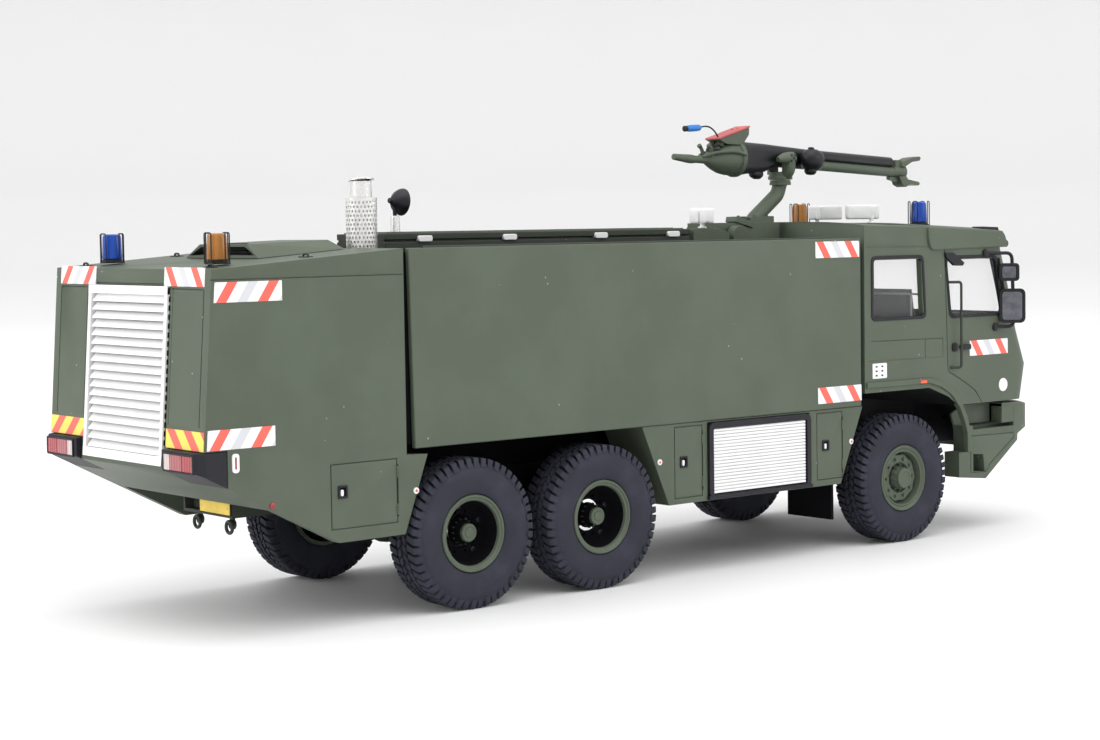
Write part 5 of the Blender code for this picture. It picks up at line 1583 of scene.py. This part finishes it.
def build_riser():
    """The fixed pipe and its saddle, with the lamp box behind it."""
    engraved("monitor_riser", "paint", edge=0.1)
    x, y, z = MONITOR_SWIVEL
    collar = Shape("riser_flanges").at(x, y, 0)
    collar.turned([(z - 0.62, 0), (z - 0.62, 1.25), (z - 0.34, 1.25), (z - 0.34, 0)], "Z", 40)
    collar.paint("dark_paint")
    for nut_x, nut_y in ring_of(8, 1.08):
        collar.nut(nut_x, nut_y, z - 0.36, 0.13, 0.14, "Z")
    collar.at(0, -51.9, 35.95, (38, 0, 0)).paint("paint").turned([(-0.15, 0), (-0.15, 1.5), (0.3, 1.5),
        (0.3, 0)], "Z", 36)
    collar.paint("dark_paint")
    for nut_x, nut_y in ring_of(6, 1.22):
        collar.nut(nut_x, nut_y, 0.3, 0.15, 0.14, "Z")
    collar.at()
    collar.finish(edge=0.03, segments=1)
    foot = Shape("riser_foot", "paint")
    foot.slab(round_box(-50.4, -54.0, 36.3, 37.1, 0.12), (-1.7, 1.7))
    foot.at(-1.5, -48.6, 36.5, (14, 0, 0)).slab(round_box(-1.5, 1.3, -0.35, 0.3, 0.12), (-0.9, 0.9))
    foot.at(-2.9, -46.8, 34.9).turned([(-0.7, 0), (-0.7, 1.2), (0.4, 1.2), (0.5, 1.05), (0.5, 0)], "X", 36)
    foot.at().paint("dark_paint")
    for y_, z_ in ((-47.6, 36.9), (-48.6, 37.0), (-49.4, 36.9)):
        foot.tube([(-1.9, y_, z_ - 0.5), (-1.95, y_ - 0.2, z_)], [0.22, 0.26], 14)
    for side in (-1, 1):
        for y_ in (-51.2, -53.2):
            foot.nut(side * 1.3, y_, 37.05, 0.2, 0.16, "Z")
    foot.finish(edge=0.05, segments=2)


def build_turret():
    """The swivelling collar, its cheeks and the knuckle that carries water up to the trunnion."""
    engraved("monitor_turret", "paint", edge=0.09, body="monitor_swivel")
    x, y, z = MONITOR_SWIVEL
    half = Box("monitor_turret").half
    knuckle = Shape("turret_knuckle").at(x, y, z)
    knuckle.turned([(0.02, 0), (0.02, 1.42), (0.36, 1.42), (0.42, 1.32), (0.8, 1.32), (0.8, 0)], "Z", 40)
    knuckle.at()
    path = rounded_path([(-0.9, y, z + 0.5), (-1.55, y, z + 1.0), (-1.62, y, TRUNNION.z + 0.1)], 0.5)
    knuckle.tube(path, 0.66, 24)
    knuckle.tube([(-1.6, y + 2.0, TRUNNION.z - 0.15), (-1.6, y + 1.0, TRUNNION.z),
        (-1.6, y - 0.3, TRUNNION.z)], [0.3, 0.62, 0.66], 24)
    knuckle.at(-half - 0.02, TRUNNION.y, TRUNNION.z)
    knuckle.turned([(0.1, 0), (0.1, 0.72), (-0.55, 0.72), (-0.75, 0.6), (-0.8, 0)], "X", 32)
    knuckle.at(half + 0.02, TRUNNION.y, TRUNNION.z)
    knuckle.turned([(-0.1, 0), (-0.1, 0.6), (0.2, 0.6), (0.3, 0.48), (0.3, 0)], "X", 32)
    knuckle.paint("dark_paint").at(-half - 0.8, TRUNNION.y, TRUNNION.z, (0, 0, 180))
    for nut_y, nut_z in ring_of(4, 0.42, 0.5):
        knuckle.nut(0, nut_y, nut_z, 0.15, 0.14)
    knuckle.nut(0, 0, 0, 0.16, 0.2)
    knuckle.at(x, y, 0)
    for nut_x, nut_y in ring_of(8, 1.3, 0.5):
        knuckle.nut(nut_x, nut_y, z + 0.34, 0.08, 0.1, "Z")
    knuckle.finish("monitor_swivel", edge=0.03, segments=1)


def build_barrel():
    """Two long tubes, the housing and casting behind them and the forked nozzle in front."""
    x, y, z = TRUNNION
    shape = Shape("monitor_barrel_finished", "black").at(x, y, z + UPPER_TUBE, BARREL_LEAN)
    shape.turned([(-19.2, 0), (-19.2, 0.5), (-19.0, 0.62), (6.3, 0.62), (6.3, 0)], "Y", 32)
    sections = []
    for place, low, top, half in (
            (-5.6, -0.4, 1.1, 0.6), (-5.0, -1.0, 1.3, 0.78), (-2.0, -1.02, 1.38, 0.84), (1.3, -1.04, 1.45,
                0.84),
            (2.9, -1.75, 1.5, 0.92), (5.6, -2.1, 1.5, 1.1), (7.2, -2.4, 1.52, 1.5)):
        ring = round_box(-half, half, low, top, min(half, (top - low) / 2) * 0.82, 5)
        sections.append([(a, place, b) for a, b in ring])
    shape.at(x, y, z, BARREL_LEAN).loft(sections)
    knob = [(3.0, 0), (3.1, 0.36), (3.5, 0.6), (4.2, 0.62), (4.7, 0.45), (4.9, 0)]
    shape.at(x, y, z - 2.0, BARREL_LEAN).turned(knob, "Y", 20)
    shape.paint("paint").at(x, y, z, BARREL_LEAN)
    shape.tube([(0, 4.5, LOWER_TUBE), (0, -20.6, LOWER_TUBE)], 0.6, 32)
    build_nozzle(shape)
    build_casting(shape)
    shape.at().finish("monitor_tilt", edge=0.04, segments=2, angle=40, replaces=("monitor_barrel",))


def build_nozzle(shape):
    """The flanged end of the lower tube with two flat lips that spread the jet."""
    collar = ((-19.4, 0.6), (-20.2, 0.64), (-20.7, 0.8), (-21.3, 0.84), (-21.5, 0.7))
    shape.loft([[(x, y, LOWER_TUBE + 0.1 + z * 1.1) for x, z in ring_of(28, radius)] for y,
        radius in collar])
    for outline, half in (
            ([(-20.4, 0.3), (-20.7, 0.85), (-22.2, 1.5), (-23.6, 1.72), (-23.78, 1.5), (-23.6, 1.2),
                (-22.2, 0.95), (-21.0, 0.3)], 0.8),
            ([(-20.0, -1.0), (-20.6, -1.9), (-21.3, -2.15), (-22.0, -1.75), (-23.5, -1.85),
                (-23.78, -1.65), (-23.6, -1.4),
              (-21.6, -1.2), (-21.2, -0.8)], 0.8),
            ([(-18.8, -1.0), (-18.8, -1.35), (-20.3, -1.6), (-20.6, -1.1)], 0.3),
            ([(-19.6, 0.2), (-19.6, 1.05), (-20.6, 1.1), (-20.9, 0.2)], 0.42)):
        shape.slab(outline, (-half, half))


def build_casting(shape):
    """The bell behind the tubes: its flange, side straps, valve caps and the steering lever."""
    middle = -0.5
    bell = [(7.0, 1.7), (7.1, 2.05), (7.65, 2.05), (7.75, 1.86), (8.8, 1.82), (9.8, 1.62), (10.8, 1.22),
        (11.6, 0.8), (12.1, 0.5)]
    shape.loft([[(x * 0.94, y, middle - 0.06 * (y - 7.0) + z) for x, z in ring_of(36, radius)]
                for y, radius in bell])
    lever = rounded_path([(0, 11.8, -0.85), (0, 14.0, -0.95), (0, 16.85, -0.85)], 0.8)
    shape.tube(lever, [0.5, 0.42, 0.42, 0.46, 0.5, 0.5, 0.48, 0.34], 18)
    for side in (-1, 1):
        strap = rounded_path([(side * 1.85, 7.3, -0.1), (side * 1.85, 9.0, 0.25),
            (side * 1.0, 11.6, -0.1), (side * 0.35, 12.6, -0.6)], 1.0)
        shape.tube(strap, 0.2, 10)
        shape.tube([(side * 0.5, 11.4, -0.9), (side * 0.8, 11.9, 0.45), (side * 0.75, 12.3, 0.75)],
            [0.26, 0.2, 0.28], 10)
    shape.paint("dark_paint")
    for x, y, z, radius in ((0.6, 10.2, 0.95, 0.42), (-0.6, 10.3, 0.95, 0.42), (0.0, 11.3, 0.55, 0.34),
            (-0.9, 11.0, 0.3, 0.3)):
        shape.at(*TRUNNION, BARREL_LEAN)
        shape.matrix = shape.matrix @ Matrix.Translation((x, y,
            z)) @ Matrix.Rotation(math.radians(-25 + 60 * x), 4, "Y")
        shape.turned([(-0.5, 0), (-0.5, radius), (0.25, radius), (0.32, radius * 0.75), (0.32, 0)], "Z", 18)
        shape.nut(0, 0, 0.3, radius * 0.5, 0.16, "Z")
    shape.at(*TRUNNION, BARREL_LEAN)
    for t in circle(10, 0.5):
        shape.nut(1.88 * math.cos(t), 7.63, middle + 1.94 * math.sin(t), 0.1, 0.12, "Y")


def build_control_box():
    """The red-topped control box and the blue grip on its wire."""
    low = 1.0
    shape = Shape("monitor_control_box_finished", "red").at(*TRUNNION, BARREL_LEAN)
    shape.slab([(11.0, 1.62), (6.2, 3.34), (6.17, 3.12), (10.95, 1.42)], (-1.2, 1.2))
    for x, y in ((-0.5, 7.5), (0.1, 7.7), (0.6, 7.4)):
        z = 3.3 - (y - 6.2) * 1.72 / 4.8
        shape.tube([(x, y, z - 0.1), (x + 0.02, y - 0.05, z + 0.14)], 0.13, 12)
    shape.paint("paint").slab([(10.9, 1.44), (6.25, 3.12), (6.25, 2.3), (7.25, low), (9.8, low)],
        (-1.14, 1.14))
    shape.finish("monitor_tilt", edge=0.07, segments=2, replaces=("monitor_control_box",))
    wire = Shape("grip_wire", "black").at(*TRUNNION, BARREL_LEAN)
    wire.tube(rounded_path([(-0.5, 10.4, 1.6), (-0.55, 11.3, 2.55), (-0.6, 12.4, 2.9), (-0.6, 13.6, 2.6)],
        0.7), 0.09, 10)
    wire.finish("monitor_tilt")
    grip = Shape("blue_grip", "blue_grip").at(*TRUNNION, BARREL_LEAN)
    grip.matrix = grip.matrix @ Matrix.Translation((-0.6, 13.4, 2.6)) @ Matrix.Rotation(math.radians(-7),
        4, "X")
    grip.turned([(0, 0), (0.05, 0.24), (0.22, 0.34), (0.6, 0.37), (1.7, 0.38), (2.1, 0.33), (2.15, 0)],
        "Y", 24)
    grip.paint("black").turned([(2.1, 0), (2.1, 0.3), (2.45, 0.34), (2.55, 0.3), (2.55, 0)], "Y", 20)
    grip.finish("monitor_tilt", edge=0.04, segments=1)


def build_spotlight():
    """The black ball spotlight beside the barrel, with its knobs and lens."""
    shape = Shape("monitor_spotlight_finished", "black").at(*TRUNNION, BARREL_LEAN)
    shape.matrix = shape.matrix @ Matrix.Translation((-2.05, -3.0, -0.05)) @ Matrix.Scale(1.17, 4)
    shape.turned([(1.12, 0), (1.05, 0.4), (0.8, 0.8), (0.4, 1.06), (-0.1, 1.14), (-0.6, 1.1),
        (-0.95, 0.98), (-1.05, 0.88), (-1.0, 0.82), (-1.0, 0)], "Y", 40)
    shape.turned([(0.9, 0), (0.95, 0.32), (1.25, 0.3), (1.3, 0)], "Z", 20)
    shape.turned([(-1.5, 0), (-1.45, 0.4), (-1.2, 0.62), (-0.9, 0.6), (-0.8, 0)], "Z", 24)
    shape.tube([(0.2, 0.1, 0), (1.3, 0.1, 0)], 0.4, 16)
    shape.paint("lens_clear").turned([(-0.95, 0), (-0.95, 0.8), (-1.05, 0.7), (-1.14, 0.35), (-1.16, 0)],
        "Y", 32)
    shape.finish("monitor_tilt", edge=0.04, segments=2, replaces=("monitor_spotlight",))


def build_monitor():
    """The water monitor with its box and lamp."""
    build_riser()
    build_turret()
    build_barrel()
    build_control_box()
    build_spotlight()


# --- underside ------------------------------------------------------------------------------------
def build_underside():
    """The frame, shafts, tanks and springs below."""
    engraved("chassis_frame", "black", edge=0.05)
    shafts = Shape("drive_shafts", "matt_black")
    shaft_z, tank_x, tank_z = 7.9, 7.6, 8.6
    for y0, y1 in ((-12.6, -3.4), (-58.0, -19.6)):
        shafts.tube([(0, y0, shaft_z), (0, y1, shaft_z)], 0.6, 24)
        for y in (y0 + 0.2, y1 - 1.0):
            shafts.at(0, y, shaft_z).turned([(0, 0), (0, 1.0), (0.28, 1.0), (0.28, 0.72), (0.8, 0.72),
                (0.8, 0)], "Y", 24)
        shafts.at()
    shafts.finish(edge=0.03, segments=1)
    tanks = Shape("frame_fittings", "black")
    for side in (-1, 1):
        tanks.slab(round_box(-38.5, -50.5, 8.1, 10.4, 0.7), (side * 5.7, side * 9.9))
        for y in (-40.5, -48.5):
            tanks.slab(round_box(y - 0.35, y + 0.35, 8.0, 10.5, 0.7), (side * 5.65, side * 10.0))
        tanks.tube([(side * tank_x, -24.0, tank_z), (side * tank_x, -33.5, tank_z)], 1.35, 28)
        for y in (-26.0, -31.5):
            tanks.tube([(side * tank_x, y, tank_z), (side * tank_x, y + 0.4, tank_z)], 1.42, 28)
    for side in (-1, 1):
        for y in (-61.41, -16.22, 0.0):
            for layer in range(4):
                wide = 4.6 - layer * 0.8
                turns = [math.pi * k / 12 for k in range(13)]
                spring = [(y + wide * math.cos(t), 9.3 + layer * 0.34 - 0.9 * math.sin(t) ** 2) for t in turns]
                strip(tanks, spring, 0.3, (side * 6.1, side * 7.3))
    tanks.finish(edge=0.04, segments=1)


# --- stage ----------------------------------------------------------------------------------------
CAMERA_PLACE = (-178.63, 125.76, 36.57)
CAMERA_AZIMUTH, CAMERA_PITCH, CAMERA_ROLL = (math.radians(angle) for angle in (229.468, 3.291, -0.789))
FOCAL_LENGTH, SENSOR = 71.47, 36.0
ROOM_BRIGHTNESS = 0.94
SHIFT = (-0.0340, -0.0193)


def build_camera():
    """Stands at a low rear corner and looks along the right side."""
    camera = bpy.data.cameras.new("camera")
    camera.lens, camera.sensor_width = FOCAL_LENGTH, SENSOR
    camera.shift_x, camera.shift_y = SHIFT
    camera.clip_start, camera.clip_end = 0.005, 20.0
    viewer = bpy.data.objects.new("camera", camera)
    level = math.cos(CAMERA_PITCH)
    back = Vector((math.sin(CAMERA_AZIMUTH) * level, -math.cos(CAMERA_AZIMUTH) * level,
        math.sin(CAMERA_PITCH)))
    right = Vector((0, 0, 1)).cross(back).normalized()
    up = back.cross(right)
    turn = Matrix((right, up, back)).transposed() @ Matrix.Rotation(CAMERA_ROLL, 3, "Z")
    viewer.matrix_world = Matrix.Translation(TO_METRES @ Vector(CAMERA_PLACE)) @ turn.to_4x4()
    bpy.context.scene.collection.objects.link(viewer)
    bpy.context.scene.camera = viewer


def build_floor():
    """A wide pale floor whose rim curves up, so that no edge of it is seen."""
    profile = [(0.3, 0.0), (0.7, 0.0), (1.0, 0.01), (1.25, 0.06), (1.45, 0.2), (1.55, 0.45), (1.6, 0.9)]
    steps, bm = 96, bmesh.new()
    rings = []
    for radius, height in profile:
        rings.append([bm.verts.new((x, y, height)) for x, y in ring_of(steps, radius)])
    bm.faces.new(rings[0])
    for inner, outer in zip(rings, rings[1:]):
        for k in range(steps):
            following = (k + 1) % steps
            bm.faces.new((inner[k], outer[k], outer[following], inner[following]))
    mesh = bpy.data.meshes.new("floor")
    bm.to_mesh(mesh)
    bm.free()
    floor = bpy.data.objects.new("floor", mesh)
    finish = Finish("floor_finish", (0.86, 0.86, 0.86), 0.6)
    cloud = finish.noise(60.0)
    finish.put("Base Color", finish.mix(cloud, (0.85, 0.85, 0.85), (0.87, 0.87, 0.87)))
    mesh.materials.append(finish.material)
    mesh.shade_smooth()
    bpy.context.scene.collection.objects.link(floor)


def soft_light(name, place, target, width, height, power):
    """A soft panel of light at a place in metres, turned to a target."""
    lamp = bpy.data.lights.new(name, "AREA")
    lamp.shape, lamp.size, lamp.size_y, lamp.energy = "RECTANGLE", width, height, power
    panel = bpy.data.objects.new(name, lamp)
    panel.location = place
    panel.rotation_euler = (Vector(target) - Vector(place)).to_track_quat("-Z", "Y").to_euler()
    bpy.context.scene.collection.objects.link(panel)


def build_lights():
    """The room, its soft lights and brightness."""
    world = bpy.data.worlds.new("room")
    bpy.context.scene.world = world
    world.use_nodes = True
    background = world.node_tree.nodes["Background"]
    background.inputs["Color"].default_value = (1.0, 1.0, 1.0, 1.0)
    background.inputs["Strength"].default_value = ROOM_BRIGHTNESS
    bpy.context.scene.view_settings.view_transform = "Standard"
    soft_light("overhead_light", (-0.15, 0.1, 0.75), (0, 0, 0), 0.9, 0.9, 4.0)
    soft_light("side_light", (-0.5, -0.35, 0.3), (0, 0, 0.03), 0.4, 0.3, 0.8)
    soft_light("rear_light", (0.25, 0.7, 0.35), (0, 0, 0.03), 0.5, 0.4, 2.0)


# --- operators ------------------------------------------------------------------------------------
class FireTruckFinishes(bpy.types.Operator):
    """Makes every procedural finish"""

    bl_idname = "fire_truck.finishes"
    bl_label = "Finishes"

    def execute(self, context):
        make_finishes()
        return {"FINISHED"}


class FireTruckWheels(bpy.types.Operator):
    """Builds the tyres, rims and axles"""

    bl_idname = "fire_truck.wheels"
    bl_label = "Wheels and axles"

    def execute(self, context):
        build_wheels()
        return {"FINISHED"}


class FireTruckUnderside(bpy.types.Operator):
    """Builds the frame, springs, shafts and tanks"""

    bl_idname = "fire_truck.underside"
    bl_label = "Chassis and drive"

    def execute(self, context):
        build_underside()
        return {"FINISHED"}


class FireTruckTail(bpy.types.Operator):
    """Builds the tail's body, doors, grille and lamps"""

    bl_idname = "fire_truck.tail"
    bl_label = "Tail"

    def execute(self, context):
        build_tail_body()
        build_tail_trim()
        build_grille()
        build_tail_lamps()
        return {"FINISHED"}


class FireTruckSides(bpy.types.Operator):
    """Builds the tank's panels, the lockers and their shutters"""

    bl_idname = "fire_truck.sides"
    bl_label = "Sides"

    def execute(self, context):
        build_sides()
        return {"FINISHED"}


class FireTruckStripes(bpy.types.Operator):
    """Lays the striped stickers on the sides and the tail"""

    bl_idname = "fire_truck.stripes"
    bl_label = "Warning stripes"

    def execute(self, context):
        side_stripes()
        tail_stripes()
        return {"FINISHED"}


class FireTruckCab(bpy.types.Operator):
    """Builds the cab, its roof cap and its windows"""

    bl_idname = "fire_truck.cab"
    bl_label = "Cab"

    def execute(self, context):
        build_cab_shell()
        return {"FINISHED"}


class FireTruckInterior(bpy.types.Operator):
    """Builds the seats, the dashboard and the steering wheel"""

    bl_idname = "fire_truck.cab_interior"
    bl_label = "Cab interior"

    def execute(self, context):
        build_cab_interior()
        return {"FINISHED"}


class FireTruckBumper(bpy.types.Operator):
    """Builds the front bumper and its lamps"""

    bl_idname = "fire_truck.bumper"
    bl_label = "Bumper"

    def execute(self, context):
        build_bumper()
        return {"FINISHED"}


class FireTruckMirrors(bpy.types.Operator):
    """Builds the door mirrors"""

    bl_idname = "fire_truck.mirrors"
    bl_label = "Mirrors"

    def execute(self, context):
        build_mirrors()
        return {"FINISHED"}


class FireTruckRoof(bpy.types.Operator):
    """Builds the walkway, hatch, exhaust, beacons and lamps"""

    bl_idname = "fire_truck.roof"
    bl_label = "Roof fittings"

    def execute(self, context):
        build_roof_fittings()
        return {"FINISHED"}


class FireTruckMonitor(bpy.types.Operator):
    """Builds the water monitor that turns and tilts"""

    bl_idname = "fire_truck.monitor"
    bl_label = "Roof monitor"

    def execute(self, context):
        build_monitor()
        return {"FINISHED"}


class FireTruckStage(bpy.types.Operator):
    """Builds the floor, the lights and the camera"""

    bl_idname = "fire_truck.stage"
    bl_label = "Stage"

    def execute(self, context):
        build_floor()
        build_lights()
        build_camera()
        return {"FINISHED"}


OPERATORS = (
    FireTruckFinishes,
    FireTruckWheels,
    FireTruckUnderside,
    FireTruckTail,
    FireTruckSides,
    FireTruckStripes,
    FireTruckCab,
    FireTruckInterior,
    FireTruckBumper,
    FireTruckMirrors,
    FireTruckRoof,
    FireTruckMonitor,
    FireTruckStage,
)


class FireTruckPanel(bpy.types.Panel):
    """Lists the steps and the values that a user may change"""

    bl_idname = "VIEW3D_PT_fire_truck"
    bl_label = "Airport Fire Truck"
    bl_space_type = "VIEW_3D"
    bl_region_type = "UI"
    bl_category = "Fire Truck"

    def draw(self, context):
        for group in (context.scene.fire_truck_sizes, context.scene.fire_truck_colours):
            box = self.layout.box()
            for name in group.__annotations__:
                box.prop(group, name)
        for operator in OPERATORS:
            self.layout.operator(operator.bl_idname)


CLASSES = (FireTruckColours, FireTruckSizes, *OPERATORS, FireTruckPanel)


def register():
    for cls in CLASSES:
        bpy.utils.register_class(cls)
    bpy.types.Scene.fire_truck_sizes = bpy.props.PointerProperty(type=FireTruckSizes)
    bpy.types.Scene.fire_truck_colours = bpy.props.PointerProperty(type=FireTruckColours)


def unregister():
    del bpy.types.Scene.fire_truck_colours
    del bpy.types.Scene.fire_truck_sizes
    for cls in reversed(CLASSES):
        bpy.utils.unregister_class(cls)


def main():
    register()
    for operator in OPERATORS:
        group, name = operator.bl_idname.split(".")
        getattr(getattr(bpy.ops, group), name)()


if __name__ == "__main__":
    main()
